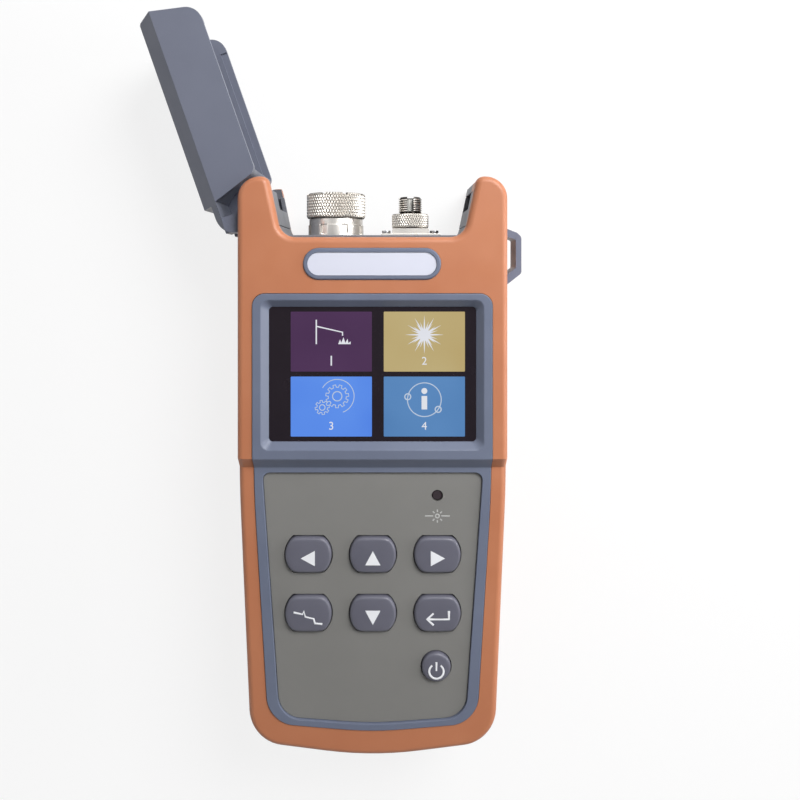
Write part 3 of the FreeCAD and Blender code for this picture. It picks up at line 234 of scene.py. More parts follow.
shell_orange = moulded("shell_orange", linear(178, 112, 78), linear(188, 123, 88), 0.5, 0.4, 0.54, 0.14)
bezel_grey = moulded("bezel_grey", linear(100, 107, 126), linear(110, 118, 137), 0.4, 0.38, 0.5, 0.08)
cover_grey = moulded("cover_grey", linear(100, 104, 119), linear(108, 112, 127), 0.4, 0.36, 0.48, 0.08)
liner_grey = moulded("liner_grey", linear(100, 102, 109), linear(110, 112, 119), 0.4, 0.42, 0.56, 0.08)
panel_grey = moulded("panel_grey", linear(120, 119, 116), linear(128, 127, 124), 0.4, 0.44, 0.58, 0.1)
key_grey = moulded("key_grey", linear(92, 92, 104), linear(102, 102, 114), 0.5, 0.36, 0.48, 0.06)
# Painted shade: the key flange is near-black, so the gap round each cap reads dark.
key_gap_shade = moulded("key_gap_shade", linear(38, 38, 42), linear(46, 46, 50), 0.5, 0.6, 0.7, 0.06)
mark_white = moulded("mark_white", linear(232, 233, 236), linear(222, 224, 228), 0.3, 0.4, 0.5, 0.02)
mark_pale = moulded("mark_pale", linear(176, 176, 174), linear(166, 166, 164), 0.3, 0.5, 0.6, 0.02)
seal_dark = moulded("seal_dark", linear(52, 53, 57), linear(60, 61, 66), 0.6, 0.7, 0.85, 0.3)
board_green = moulded("board_green", linear(40, 92, 58), linear(52, 108, 70), 0.5, 0.3, 0.45, 0.05)
sleeve_blue = moulded("sleeve_blue", linear(44, 84, 150), linear(52, 94, 160), 0.4, 0.22, 0.34, 0.03)
led_lens = moulded("led_lens", linear(52, 44, 48), linear(62, 52, 56), 0.4, 0.12, 0.2, 0.01)
print("moulded materials:", len(bpy.data.materials))

# %% [markdown]
# The two halves of the housing meet in a plane half way up. A fine dark line marks that joint. It is
# drawn by place in the shells' material: the CAD faces there touch, so no groove would show. The same
# function paints the shell grey inside the horns, where its back wall shows past the liner.

# %% Parting line and painted horns
def paint_inside(material, low, high, colour):
    """Gives a material another colour inside a box of the frame."""
    tree = material.node_tree
    shader = tree.nodes["Principled BSDF"]
    plain = shader.inputs["Base Color"].links[0].from_socket
    offset = tree.nodes.new("ShaderNodeVectorMath")
    offset.operation = "SUBTRACT"
    tree.links.new(tree.nodes.new("ShaderNodeTexCoord").outputs["Object"], offset.inputs[0])
    offset.inputs[1].default_value = [(a + b) / 2 for a, b in zip(low, high)]
    split = tree.nodes.new("ShaderNodeSeparateXYZ")
    tree.links.new(offset.outputs["Vector"], split.inputs["Vector"])
    mask = None
    for axis, a, b in zip("XYZ", low, high):
        near = tree.nodes.new("ShaderNodeMath")
        near.operation = "COMPARE"
        near.inputs[1].default_value = 0.0
        near.inputs[2].default_value = (b - a) / 2
        tree.links.new(split.outputs[axis], near.inputs[0])
        if mask is None:
            mask = near.outputs["Value"]
            continue
        both = tree.nodes.new("ShaderNodeMath")
        both.operation = "MULTIPLY"
        tree.links.new(mask, both.inputs[0])
        tree.links.new(near.outputs["Value"], both.inputs[1])
        mask = both.outputs["Value"]
    tree.links.new(mixed(tree, mask, plain, colour), shader.inputs["Base Color"])


SEAM_WIDTH = 0.24 * MM
BACK_WALL = 3.2 * MM
SLOT_SIDE = 3.0 * MM
seam_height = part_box("front_shell")[0].z
shell_low, shell_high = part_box("rear_shell")
liner_low, liner_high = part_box("port_liner")
paint_inside(shell_orange, (shell_low.x, shell_low.y, seam_height - SEAM_WIDTH / 2),
             (shell_high.x, shell_high.y, seam_height + SEAM_WIDTH / 2), linear(96, 58, 42))
paint_inside(shell_orange, (liner_low.x - SLOT_SIDE, liner_low.y, BACK_WALL),
             (liner_high.x + SLOT_SIDE, liner_high.y + SLOT_SIDE, seam_height), linear(98, 100, 107))
print("parting line at", round(seam_height / MM, 2), "mm")
print("painted horns from", round((liner_low.x - SLOT_SIDE) / MM, 1), "mm")

# %% [markdown]
# The white plate has a silky lacquer, so its base is plain and a thin coat carries the gloss.
# The metal parts are nickel: metallic, pale and slightly yellow, and a little dull from handling.

# %% Lacquer and metal
def lacquered(name, colour, worn, coat):
    material = moulded(name, colour, worn, 0.3, 0.3, 0.42, 0.02)
    shader = material.node_tree.nodes["Principled BSDF"]
    shader.inputs["Coat Weight"].default_value = coat
    shader.inputs["Coat Roughness"].default_value = 0.12
    return material


def metal(name, colour, worn, smooth, dull, grain=0.06):
    """Metal that mirrors a little less where it is seen along its surface."""
    material = moulded(name, colour, worn, 0.8, smooth, dull, grain)
    shader = material.node_tree.nodes["Principled BSDF"]
    shader.inputs["Metallic"].default_value = 1.0
    shader.inputs["Specular Tint"].default_value = (0.6, 0.6, 0.6, 1)
    return material


plate_white = lacquered("plate_white", linear(206, 208, 222), linear(216, 218, 230), 0.6)
ceramic_white = lacquered("ceramic_white", linear(230, 230, 224), linear(238, 238, 232), 0.4)
nickel = metal("nickel", linear(236, 232, 226), linear(222, 217, 210), 0.4, 0.52)
nickel_bright = metal("nickel_bright", linear(246, 242, 236), linear(236, 232, 226), 0.3, 0.4, 0.02)
steel = metal("steel", linear(176, 176, 178), linear(150, 150, 154), 0.25, 0.42)
can_metal = metal("can_metal", linear(190, 192, 194), linear(176, 178, 180), 0.3, 0.45)

# %% [markdown]
# The knurls and the thread are darker at their roots: painted shade, with a little dirt, as grooves
# hold both. The mask is the distance from the piece's own axis, between the root and the crest. Three
# materials share it as a node group, each with its own axis and radii.

# %% Grooved metal
def groove_mask_group():
    """Is nought at the root radius and one at the crest radius about an axis along Y."""
    group = bpy.data.node_groups.new("groove_mask", "ShaderNodeTree")
    add_socket(group, "INPUT", "Axis", "Vector", (0, 0, 0))
    add_socket(group, "INPUT", "Root", "Float", 0.001)
    add_socket(group, "INPUT", "Crest", "Float", 0.002)
    add_socket(group, "OUTPUT", "Mask", "Float")
    given = group.nodes.new("NodeGroupInput")
    result = group.nodes.new("NodeGroupOutput")
    offset = group.nodes.new("ShaderNodeVectorMath")
    offset.operation = "SUBTRACT"
    group.links.new(group.nodes.new("ShaderNodeTexCoord").outputs["Object"], offset.inputs[0])
    group.links.new(given.outputs["Axis"], offset.inputs[1])
    flat = group.nodes.new("ShaderNodeVectorMath")
    flat.operation = "MULTIPLY"
    flat.inputs[1].default_value = (1, 0, 1)
    group.links.new(offset.outputs["Vector"], flat.inputs[0])
    radius = group.nodes.new("ShaderNodeVectorMath")
    radius.operation = "LENGTH"
    group.links.new(flat.outputs["Vector"], radius.inputs[0])
    spread = group.nodes.new("ShaderNodeMapRange")
    group.links.new(radius.outputs["Value"], spread.inputs["Value"])
    group.links.new(given.outputs["Root"], spread.inputs["From Min"])
    group.links.new(given.outputs["Crest"], spread.inputs["From Max"])
    group.links.new(spread.outputs["Result"], result.inputs["Mask"])
    return group


def grooved_metal(name, node, depth, colour, root_shade_colour, smooth, dull):
    """Metal for the piece in a node's place, with painted shade where it lies depth below the crest."""
    material = metal(name, colour, worn_pale, smooth, dull)
    tree = material.node_tree
    shader = tree.nodes["Principled BSDF"]
    plain = shader.inputs["Base Color"].links[0].from_socket
    low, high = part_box(node)
    middle = (low + high) / 2
    crest = (high.x - low.x) / 2
    # Painted shade: the mask darkens the groove roots towards the root colour.
    mask = tree.nodes.new("ShaderNodeGroup")
    mask.node_tree = groove_shade_group
    mask.inputs["Axis"].default_value = (middle.x, 0, middle.z)
    mask.inputs["Root"].default_value = crest - depth
    mask.inputs["Crest"].default_value = crest - 0.1 * depth
    tree.links.new(mixed(tree, mask.outputs["Mask"], root_shade_colour, plain), shader.inputs["Base Color"])
    return material


RING_GROOVE = 0.4 * MM
NUT_GROOVE = 0.3 * MM
THREAD_DEPTH = 0.4 * MM
groove_shade_group = groove_mask_group()
pale, worn_pale = linear(252, 248, 241), linear(242, 237, 230)
# shade and deep_shade are painted shade for the roots of the knurls and of the thread.
shade, deep_shade = linear(158, 153, 146), linear(84, 80, 77)
ring_metal = grooved_metal("ring_metal", "otdr_knurled_ring", RING_GROOVE, pale, shade, 0.42, 0.55)
nut_metal = grooved_metal("nut_metal", "vfl_knurled_nut", NUT_GROOVE, pale, shade, 0.42, 0.55)
barrel_metal = grooved_metal("barrel_metal", "vfl_adaptor", THREAD_DEPTH, pale, deep_shade, 0.28, 0.38)
print("metal with shaded grooves:", [item.name for item in (ring_metal, nut_metal, barrel_metal)])

# %% [markdown]
# ## The screen
#
# The window is a near-black, satin sheet, and the picture on it glows. A real display could be a
# texture, but this model carries no images: the picture is four thin tiles whose material gives off
# its own light, so it stays readable while the window still picks up a little of the room.

# %% Screen materials
def glowing(name, colour, deeper, strength):
    """A lit part of the picture: faint backlight clouds, and the gloss of the glass over it."""
    material, tree, shader = new_material(name)
    place = tree.nodes.new("ShaderNodeTexCoord").outputs["Object"]
    clouds = ranged(tree, noise_node(tree, place, 45.0, 1.0), 0.0, 1.0)
    lit = mixed(tree, clouds, colour, deeper)
    tree.links.new(lit, shader.inputs["Emission Color"])
    shader.inputs["Emission Strength"].default_value = strength
    shader.inputs["Base Color"].default_value = (0.01, 0.01, 0.012, 1)
    shader.inputs["Roughness"].default_value = 0.3
    shader.inputs["Specular IOR Level"].default_value = 0.25
    return material


tile_purple = glowing("tile_purple", linear(70, 37, 78), linear(76, 43, 84), 0.9)
tile_ochre = glowing("tile_ochre", linear(190, 168, 112), linear(196, 178, 126), 0.9)
tile_blue = glowing("tile_blue", linear(80, 134, 236), linear(96, 150, 244), 0.9)
tile_steel = glowing("tile_steel", linear(80, 130, 186), linear(92, 142, 198), 0.9)
icon_white = glowing("icon_white", linear(236, 238, 244), linear(228, 230, 238), 0.9)
icon_soft = glowing("icon_soft", linear(208, 222, 240), linear(196, 212, 234), 0.8)


def window_material():
    """Near-black sheet with only a weak reflection, as an anti-glare display has."""
    material = moulded("window_black", linear(33, 27, 33), linear(38, 32, 38), 0.5, 0.2, 0.28, 0.005)
    material.node_tree.nodes["Principled BSDF"].inputs["Specular IOR Level"].default_value = 0.2
    return material


window_black = window_material()

# %% [markdown]
# ## Finishes and soft edges for the CAD nodes
#
# A CAD mesh is right in form but has knife edges, which no moulding has. Its triangles are also
# loose, so each node that can be seen first gets a Weld modifier and then a narrow Bevel on its sharp
# edges only. The angle limit keeps the bevel off the fine facets of its curves. Clamping keeps a
# bevel inside the faces beside it, so where a node has tiny faces the bevel stays tiny too, and the
# rounding seen is the CAD's own. Weighted normals then let the broad faces decide the shading, so the
# slim bevel faces don't pull a gradient over them.

# %% Dress the CAD nodes
WELD_REACH = 0.002 * MM
EDGE_SEGMENTS = 2
EDGE_ANGLE = math.radians(35)


def soften(node, width):
    """Welds a CAD node's triangles and rounds its sharp edges."""
    piece = nodes[node]
    weld = piece.modifiers.new("weld", "WELD")
    weld.merge_threshold = WELD_REACH
    bevel = piece.modifiers.new("soft_edges", "BEVEL")
    bevel.width = width * MM
    bevel.segments = EDGE_SEGMENTS
    bevel.limit_method = "ANGLE"
    bevel.angle_limit = EDGE_ANGLE
    bevel.use_clamp_overlap = True
    even = piece.modifiers.new("even_shading", "WEIGHTED_NORMAL")
    even.keep_sharp = True


finishes = {
    "front_shell": (shell_orange, 0.35), "rear_shell": (shell_orange, 0.35),
    "battery_door": (shell_orange, 0.25), "front_bezel": (bezel_grey, 0.5),
    "plate_frame": (bezel_grey, 0.2), "strap_loop": (bezel_grey, 0.5),
    "keypad_panel": (panel_grey, 0.2), "port_cover": (cover_grey, 0.5), "port_liner": (liner_grey, 0.3),
    "name_plate": (plate_white, 0.12), "screen_window": (window_black, 0.2), "status_led": (led_lens, 0.1),
    "lcd_module": (can_metal, 0), "main_board": (board_green, 0), "keypad_board": (board_green, 0),
    "key_mat": (liner_grey, 0), "battery_pack": (sleeve_blue, 0), "otdr_module": (can_metal, 0),
    "vfl_laser_module": (can_metal, 0), "usb_socket": (steel, 0.06), "case_screws": (steel, 0.1),
    "battery_door_screws": (steel, 0.08), "hinge_pin": (steel, 0.1), "hinge_spring": (steel, 0.05),
    "otdr_port_base": (nickel_bright, 0.15), "vfl_flange": (nickel, 0.12), "vfl_flange_screws": (steel, 0.08),
    "vfl_ferrule_sleeve": (ceramic_white, 0.05), "otdr_ferrule_sleeve": (ceramic_white, 0.05),
    "cover_seal": (seal_dark, 0.3),
}
for node, (material, width) in finishes.items():
    nodes[node].data.materials.clear()
    nodes[node].data.materials.append(material)
    if width:
        soften(node, width)
print("dressed:", len(finishes), "of", len(nodes))

# %% [markdown]
# ## Keys
#
# Each key is a rubber button: a disc with its top and bottom cut off straight, a rounded rim and a
# gently crowned face. It is a stack of outlines. The first ones make the flange that stays under the
# panel, the next follow a quarter circle round the rim, and the last shrink to the middle while they
# rise, which crowns the face. The flange is coloured near-black as painted shade, so the gap round a
# cap reads as dark as the shade in it. An extruded and bevelled polygon would be shorter to write, but
# its bevel breaks down where the short corner edges meet, and a stack of outlines has no such place.

# %% Key caps
KEY_FLANGE = 0.7 * MM
FLANGE_THICK = 1.3 * MM
RIM_ROUND = 1.05 * MM
CROWN = 0.22 * MM
CORNER_POWER = 14
ROUND_WITHIN = 0.1 * MM


def cap_outline(radius, flat, z, steps=96):
    """Disc cut off straight at plus and minus flat, its four corners rounded by a smooth minimum."""
    points = []
    for i in range(steps):
        angle = 2 * math.pi * i / steps
        across = abs(math.sin(angle)) / flat
        reach = (radius ** -CORNER_POWER + across ** CORNER_POWER) ** (-1 / CORNER_POWER)
        points.append((reach * math.cos(angle), reach * math.sin(angle), z))
    return points


def key_cap(node):
    """Rubber button in the place of a CAD key, flange and all. A round one has no flats."""
    low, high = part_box(node)
    radius = (high.x - low.x) / 2 - KEY_FLANGE
    flat = (high.y - low.y) / 2 - KEY_FLANGE
    if abs(radius - flat) < ROUND_WITHIN:
        flat = 2 * radius
    edge_z = high.z - CROWN
    flange_z = low.z + FLANGE_THICK
    loops = [cap_outline(radius + KEY_FLANGE, flat + KEY_FLANGE, z) for z in (low.z, flange_z)]
    loops.append(cap_outline(radius, flat, flange_z))
    for degrees in (0, 18, 36, 54, 72, 90):
        turn = math.radians(degrees)
        inset = RIM_ROUND * (1 - math.cos(turn))
        loops.append(cap_outline(radius - inset, flat - inset, edge_z - RIM_ROUND * (1 - math.sin(turn))))
    rim = loops[-1]
    for share in (0.8, 0.6, 0.4, 0.2):
        rise = CROWN * (1 - share ** 2)
        loops.append([(x * share, y * share, edge_z + rise) for x, y, _ in rim])
    bm = bmesh.new()
    stack(bm, loops)
    middle = (low + high) / 2
    move(bm, middle.x, middle.y)
    # The flange faces take the second material, the near-black painted shade of the gap round the cap.
    for face in bm.faces:
        face.material_index = int(face.calc_center_median().z < flange_z + TOLERANCE)
    piece = finish_piece(bm, "cap_" + node, node + "_body", key_grey, math.radians(50))
    piece.data.materials.append(key_gap_shade)
    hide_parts(node)


key_nodes = [name for name in nodes if name.startswith("key_") and name != "key_mat"]
for node in key_nodes:
    key_cap(node)
key_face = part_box("key_up")[1].z
print("keys:", len(key_nodes), "face at", round(key_face / MM, 2), "mm")

# %% [markdown]
# ## Printed marks
#
# The marks on the keys are a layer of pale ink. Filled marks are a small polygon drawn up by about a
# tenth of a millimetre. Line marks are strokes: a curve with a round bevel, flattened and made a mesh,
# which keeps its corners round as ink does.

# %% Helpers for marks
SIGN_INK = 0.1
KEY_INK = 0.16


def filled_mark(points, height=SIGN_INK):
    """Polygon through points in the XY plane, drawn up to a height."""
    bm = bmesh.new()
    face = bm.faces.new([bm.verts.new((x * MM, y * MM, 0)) for x, y in points])
    raised = bmesh.ops.extrude_face_region(bm, geom=[face])["geom"]
    bmesh.ops.translate(bm, verts=[g for g in raised if isinstance(g, bmesh.types.BMVert)],
                        vec=(0, 0, height * MM))
    return bm


def closed_mesh(holder):
    """The mesh of a curve or text object, with its caps welded to its sides."""
    mesh = bpy.data.meshes.new_from_object(holder)
    bm = bmesh.new()
    bm.from_mesh(mesh)
    bmesh.ops.remove_doubles(bm, verts=bm.verts, dist=WELD_REACH)
    bpy.data.objects.remove(holder)
    bpy.data.meshes.remove(mesh)
    return bm


def stroke_mark(lines, width, height=SIGN_INK):
    """Strokes along lists of points, as thick as width, flattened to a height."""
    curve = bpy.data.curves.new("stroke", "CURVE")
    curve.dimensions = "3D"
    curve.bevel_depth = width * MM / 2
    curve.bevel_resolution = 2
    curve.use_fill_caps = True
    for points, closed in lines:
        spline = curve.splines.new("POLY")
        spline.points.add(len(points) - 1)
        for point, (x, y) in zip(spline.points, points):
            point.co = (x * MM, y * MM, 0, 1)
        spline.use_cyclic_u = closed
    bm = closed_mesh(bpy.data.objects.new("stroke", curve))
    bpy.data.curves.remove(curve)
    bmesh.ops.scale(bm, vec=(1, 1, height / width), verts=bm.verts)
    return bm


def arc_points(radius, start, end, steps, x=0.0, y=0.0):
    """Points on an arc, in degrees."""
    points = []
    for i in range(steps + 1):
        angle = math.radians(start + (end - start) * i / steps)
        points.append((x + radius * math.cos(angle), y + radius * math.sin(angle)))
    return points


def place_mark(bm, name, body, material, spot):
    """Sets a mark down at a spot and returns it as a piece."""
    bmesh.ops.translate(bm, verts=bm.verts, vec=spot)
    piece = finish_piece(bm, name, body, material)
    return piece


# %% [markdown]
# The direction keys carry solid triangles. The two keys beside them carry plain signs for what they
# do: a falling trace with a step, and a return arrow. The power key has the usual broken ring.

# %% Marks on the keys
INK_SINK = 0.05 * MM


def key_mark(node, bm, turn=0.0, drop=0.8):
    """Puts a mark on a key's face, turned in degrees and dropped below its middle."""
    bmesh.ops.rotate(bm, cent=(0, 0, 0), matrix=Matrix.Rotation(math.radians(turn), 3, "Z"), verts=bm.verts)
    middle = centre(node)
    spot = (middle.x, middle.y - drop * MM, key_face - INK_SINK)
    return place_mark(bm, "mark_" + node, node + "_body", mark_white, spot)


triangle = [(-2.45, -2.2), (2.45, -2.2), (0.0, 2.35)]
for node, turn in (("key_up", 0), ("key_left", 90), ("key_down", 180), ("key_right", -90)):
    key_mark(node, filled_mark(triangle, 0.09), turn)
trace = [(-4.6, 1.6), (-1.7, 1.0), (-1.3, 2.1), (-0.9, 0.2), (1.8, -0.4), (2.2, -1.9), (4.6, -2.1)]
key_mark("key_scan", stroke_mark([(trace, False)], 0.68, KEY_INK))
hook = [(3.6, 2.1), (3.6, -0.6), (-3.4, -0.6)]
barb = [(-1.3, 1.3), (-3.4, -0.6), (-1.3, -2.5)]
key_mark("key_enter", stroke_mark([(hook, False), (barb, False)], 0.76, KEY_INK))
ring = arc_points(2.3, 125, 415, 32)
stem = [(0, 0.2), (0, 3.0)]
key_mark("key_power", stroke_mark([(ring, False), (stem, False)], 0.64, KEY_INK), drop=1.0)
print("marked keys:", len(key_nodes))

# %% [markdown]
# A sign of the same kind stands under the small lamp on the panel: a spot with short rays, for light
# that leaves the visible-light port. It is a mark of the keypad film, in its paler ink.

# %% Lamp sign
LAMP_SIGN_DROP = 6.6 * MM
lamp_sign = [(arc_points(0.6, 0, 360, 20), True)]
for degrees in range(0, 360, 45):
    turn = math.radians(degrees)
    reach = (1.3, 4.0) if degrees % 180 == 0 else (1.3, 2.1)
    lamp_sign.append(([(r * math.cos(turn), r * math.sin(turn)) for r in reach], False))
lamp_mid = centre("status_led")
panel_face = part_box("keypad_panel")[1].z
place_mark(stroke_mark(lamp_sign, 0.42), "lamp_sign", "housing", mark_pale,
           (lamp_mid.x, lamp_mid.y - LAMP_SIGN_DROP, panel_face))
print("status lamp at", [round(v / MM, 1) for v in lamp_mid[:2]])

# %% [markdown]
# ## The picture on the screen
#
# The menu shows four tiles. Each has a simple white sign and a plain number beneath it. The tiles are
# rounded only by a hair, and the signs lie one step above them so that they never flicker.

# %% Tiles
window_mid = centre("screen_window")
glass_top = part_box("screen_window")[1].z
TILE_LIFT = 0.06
SIGN_LIFT = 0.12
tile_places = {
    "trace": (-13.2, 10.4, tile_purple), "beam": (16.6, 10.4, tile_ochre),
    "gears": (-13.2, -10.4, tile_blue), "info": (16.6, -10.4, tile_steel),
}
sign_rises = {"trace": 2.6, "beam": 2.2, "gears": 2.4, "info": 2.2}
TILE_W, TILE_H = 26.0, 19.2


def tile_piece(name, x, y, material):
    """A thin lit tile of the menu, its middle at x, y from the window's."""
    bm = bmesh.new()
    bmesh.ops.create_cube(bm, size=1.0)
    bmesh.ops.scale(bm, vec=(TILE_W * MM, TILE_H * MM, TILE_LIFT * MM), verts=bm.verts)
    corners = [e for e in bm.edges if abs(e.verts[0].co.z - e.verts[1].co.z) > TILE_LIFT * MM / 2]
    bmesh.ops.bevel(bm, geom=corners, offset=0.25 * MM, offset_type="OFFSET", segments=2, profile=0.5,
                    affect="EDGES", material=-1)
    spot = (window_mid.x + x * MM, window_mid.y + y * MM, glass_top)
    return place_mark(bm, "tile_" + name, "housing", material, spot)


for name, (x, y, material) in tile_places.items():
    tile_piece(name, x, y, material)
print("tiles:", list(tile_places))

# %% [markdown]
# The signs are drawn with the two mark helpers. A sun-like burst is a polygon whose radius swings
# between two values, and a gear is a ring whose rim does the same in steps.

# %% Signs on the tiles
def burst_points(count, inner, outer):
    """Outline of a burst: its radius swings between outer and inner."""
    points = []
    for i in range(2 * count):
        radius = outer if i % 2 == 0 else inner
        angle = math.pi * i / count
        points.append((radius * math.cos(angle), radius * math.sin(angle)))
    return points


def gear_points(teeth, inner, outer, x, y):
    """Rim of a gear: each tooth is two points out and two points in."""
    points = []
    for i in range(teeth):
        for share, radius in ((0.0, outer), (0.42, outer), (0.5, inner), (0.92, inner)):
            angle = 2 * math.pi * (i + share) / teeth
            points.append((x + radius * math.cos(angle), y + radius * math.sin(angle)))
    return points


def sign(tile, name, bm, material, rise=None):
    """Sets a sign down on a tile, a rise above its middle, or the tile's usual rise."""
    x, y, _ = tile_places[tile]
    rise = sign_rises[tile] if rise is None else rise
    spot = (window_mid.x + x * MM, window_mid.y + (y + rise) * MM, glass_top + SIGN_LIFT * MM / 2)
    return place_mark(bm, "sign_" + name, "housing", material, spot)


post = [(-4.8, 4.4), (-4.8, -3.4)]
fall = [(-4.8, 2.3), (3.6, 0.4), (3.6, -0.7)]
crown = [(2.2, -3.4), (2.8, -1.9), (3.2, -3.0), (3.9, -1.2), (4.5, -3.0), (5.2, -1.7), (5.5, -3.1), (6.2, -2.5),
         (6.2, -3.4)]
sign("trace", "trace", stroke_mark([(post, False), (fall, False)], 0.42), icon_white)
sign("trace", "crown", filled_mark(crown), icon_white)
sign("beam", "long_rays", filled_mark(burst_points(12, 1.3, 6.2), 0.08), icon_white)
sign("beam", "short_rays", filled_mark(burst_points(20, 1.6, 4.4), 0.09), icon_white)
sign("beam", "burst_heart", filled_mark(arc_points(1.9, 0, 345, 23)), icon_white)

# %% [markdown]
# Two gears stand side by side, and part of a circle runs round the large one. The last sign is the
# letter for information, in a ring with two small rings on it.

# %% Gears and information sign
big, small = (1.9, 0.9), (-2.9, -2.7)
big_gear = [(gear_points(11, 2.9, 3.7, *big), True), (arc_points(1.5, 0, 360, 24, *big), True)]
small_gear = [(gear_points(8, 1.7, 2.3, *small), True), (arc_points(0.9, 0, 360, 20, *small), True)]
orbit = [(arc_points(5.4, -70, 150, 44, *big), False)]
sign("gears", "big_gear", stroke_mark(big_gear, 0.32), icon_soft)
sign("gears", "orbit", stroke_mark(orbit, 0.26), icon_soft)
sign("gears", "small_gear", stroke_mark(small_gear, 0.3), icon_soft)
INFO_RADIUS = 5.4
letter_stem = [(-0.9, -3.1), (0.9, -3.1), (0.9, 1.2), (-0.9, 1.2)]
info_ring = [(arc_points(INFO_RADIUS, 0, 360, 56), True)]
sign("info", "ring", stroke_mark(info_ring, 0.32), icon_soft)
sign("info", "stem", filled_mark(letter_stem), icon_white)
sign("info", "dot", filled_mark(arc_points(0.95, 0, 345, 23, 0, 2.8)), icon_white)
for i, degrees in enumerate((170, 325)):
    turn = math.radians(degrees)
    x, y = INFO_RADIUS * math.cos(turn), INFO_RADIUS * math.sin(turn)
    satellite = [(arc_points(0.95, 0, 360, 24, x, y), True)]
    sign("info", f"satellite_{i}", stroke_mark(satellite, 0.4, 0.12), icon_soft)

# %% [markdown]
# Each tile has a plain number below its sign. The number is text made into a mesh at once, because a
# text object can't ride on a body.

# %% Numbers on the tiles
def digit(text, size):
    """A plain number as a thin mesh, centred on the origin."""
    words = bpy.data.curves.new("digit", "FONT")
    words.body = text
    words.size = size * MM
    words.extrude = 0.05 * MM
    words.align_x = "CENTER"
    words.align_y = "CENTER"
    return closed_mesh(bpy.data.objects.new("digit", words))


NUMBER_RISE = -6.3
number_sizes = {"trace": 4.6, "beam": 3.6, "gears": 3.6, "info": 3.6}
for number, (tile, size) in enumerate(number_sizes.items(), start=1):
    sign(tile, f"number_{number}", digit(str(number), size), icon_white, NUMBER_RISE)
print("numbers:", len(number_sizes))

# %% [markdown]
# ## Knurled rings
#
# A knurl is a crossed pattern of grooves pressed into metal so that fingers grip it. A bump texture
# would leave the outline smooth, so the grooves are real. The ring's profile is spun into a fine tube
# of quads, and each point of the tube is pushed in by how near it lies to one of two crossing sets of
# grooves. Both sets climb at the same angle, one to the left and one to the right, so what stays
# proud between them is a lattice of small diamonds. The crests are cut a little flat, as if worn.

# %% Knurling
STEPS_PER_TOOTH = 8
CREST_FLAT = 1.3


def saw(value):
    """Goes from 0 to 1 and back to 0 as value grows by one."""
    return 1 - abs(2 * (value % 1.0) - 1)


def knurled_sleeve(node, body, material, bore, teeth, climb, depth, chamfer, row_count):
    """Ring about the Y axis whose outside is a diamond knurl between two chamfers."""
    low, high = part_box(node)
    middle = (low + high) / 2
    radius = (high.x - low.x) / 2
    length = high.y - low.y
    usable = length - 2 * chamfer
    rows = [chamfer + usable * i / row_count for i in range(row_count + 1)]
    profile = [(bore, 0.0), (radius - chamfer, 0.0)] + [(radius, y) for y in rows]
    profile += [(radius - chamfer, length), (bore, length)]
    bm = spun(profile, teeth * STEPS_PER_TOOTH)
    for vert in bm.verts:
        if math.hypot(vert.co.x, vert.co.z) < radius - TOLERANCE:
            continue
        around = math.atan2(vert.co.z, vert.co.x) / (2 * math.pi) * teeth
        along = vert.co.y / climb
        peak = min(saw(around + along), saw(around - along))
        share = 1 - depth * (1 - min(1.0, CREST_FLAT * peak)) / radius
        vert.co.x *= share
        vert.co.z *= share
    move(bm, middle.x, low.y, middle.z)
    piece = finish_piece(bm, "knurled_" + node, body, material, math.radians(30))
    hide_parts(node)
    return piece


port_ring = knurled_sleeve("otdr_knurled_ring", "otdr_ring", ring_metal, bore=8.0 * MM, teeth=65,
                           climb=2.0 * MM, depth=RING_GROOVE, chamfer=0.45 * MM, row_count=34)
knurled_sleeve("vfl_knurled_nut", "vfl_nut", nut_metal, bore=4.1 * MM, teeth=46,
               climb=1.6 * MM, depth=NUT_GROOVE, chamfer=0.35 * MM, row_count=20)
print("knurled ring faces:", len(port_ring.data.polygons))

# %% [markdown]
# ## The thread
#
# The small port takes a plug's coupling nut on a fine thread, 0.75 mm from ridge to ridge. A plain
# barrel is spun first. Then one ridge, sloped at its sides and flat on top, with its foot a little
# inside the barrel, is spun while it climbs a pitch in each turn, and that draws the whole helix. The
# key slot is cut through both by a Boolean, as a cutter would.

# %% Threaded barrel
PITCH = 0.75 * MM
RIDGE_SINK = 0.06 * MM
RIDGE_PROFILE = ((0.0, 0), (0.22, 1), (0.58, 1), (0.8, 0))    # share of the pitch, and whether it is the crest
RUN_OUT = 0.9
BARREL_BORE = 2.75 * MM
BARREL_CHAMFER = 0.3 * MM
NUT_CLEARANCE = 0.3 * MM
TURN_STEPS = 48
BARREL_STEPS = 72


def add_bmesh(bm, other):
    """Adds another bmesh's faces to bm."""
    mesh = bpy.data.meshes.new("part")
    other.to_mesh(mesh)
    other.free()
    bm.from_mesh(mesh)
    bpy.data.meshes.remove(mesh)


def threaded_barrel():
    """Barrel of the small port with one ridge wound round it, in the place of the plain CAD one."""
    low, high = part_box("vfl_adaptor")
    middle = (low + high) / 2
    crest = (high.x - low.x) / 2
    root = crest - THREAD_DEPTH
    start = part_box("vfl_knurled_nut")[1].y + NUT_CLEARANCE
    bm = spun([(BARREL_BORE, low.y), (root, low.y), (root, high.y - BARREL_CHAMFER),
               (root - BARREL_CHAMFER, high.y), (BARREL_BORE, high.y)], BARREL_STEPS)
    ridge = [(crest if proud else root - RIDGE_SINK, start + share * PITCH) for share, proud in RIDGE_PROFILE]
    turns = (high.y - start) / PITCH - RUN_OUT
    steps = round(turns * TURN_STEPS)
    helix = spun(ridge, steps, turns * 2 * math.pi, turns * PITCH / steps)
    add_bmesh(bm, helix)
    move(bm, middle.x, 0, middle.z)
    piece = finish_piece(bm, "threaded_barrel", "housing", barrel_metal, math.radians(30))
    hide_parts("vfl_adaptor")
    print("turns of thread:", round(turns, 2))
    return piece


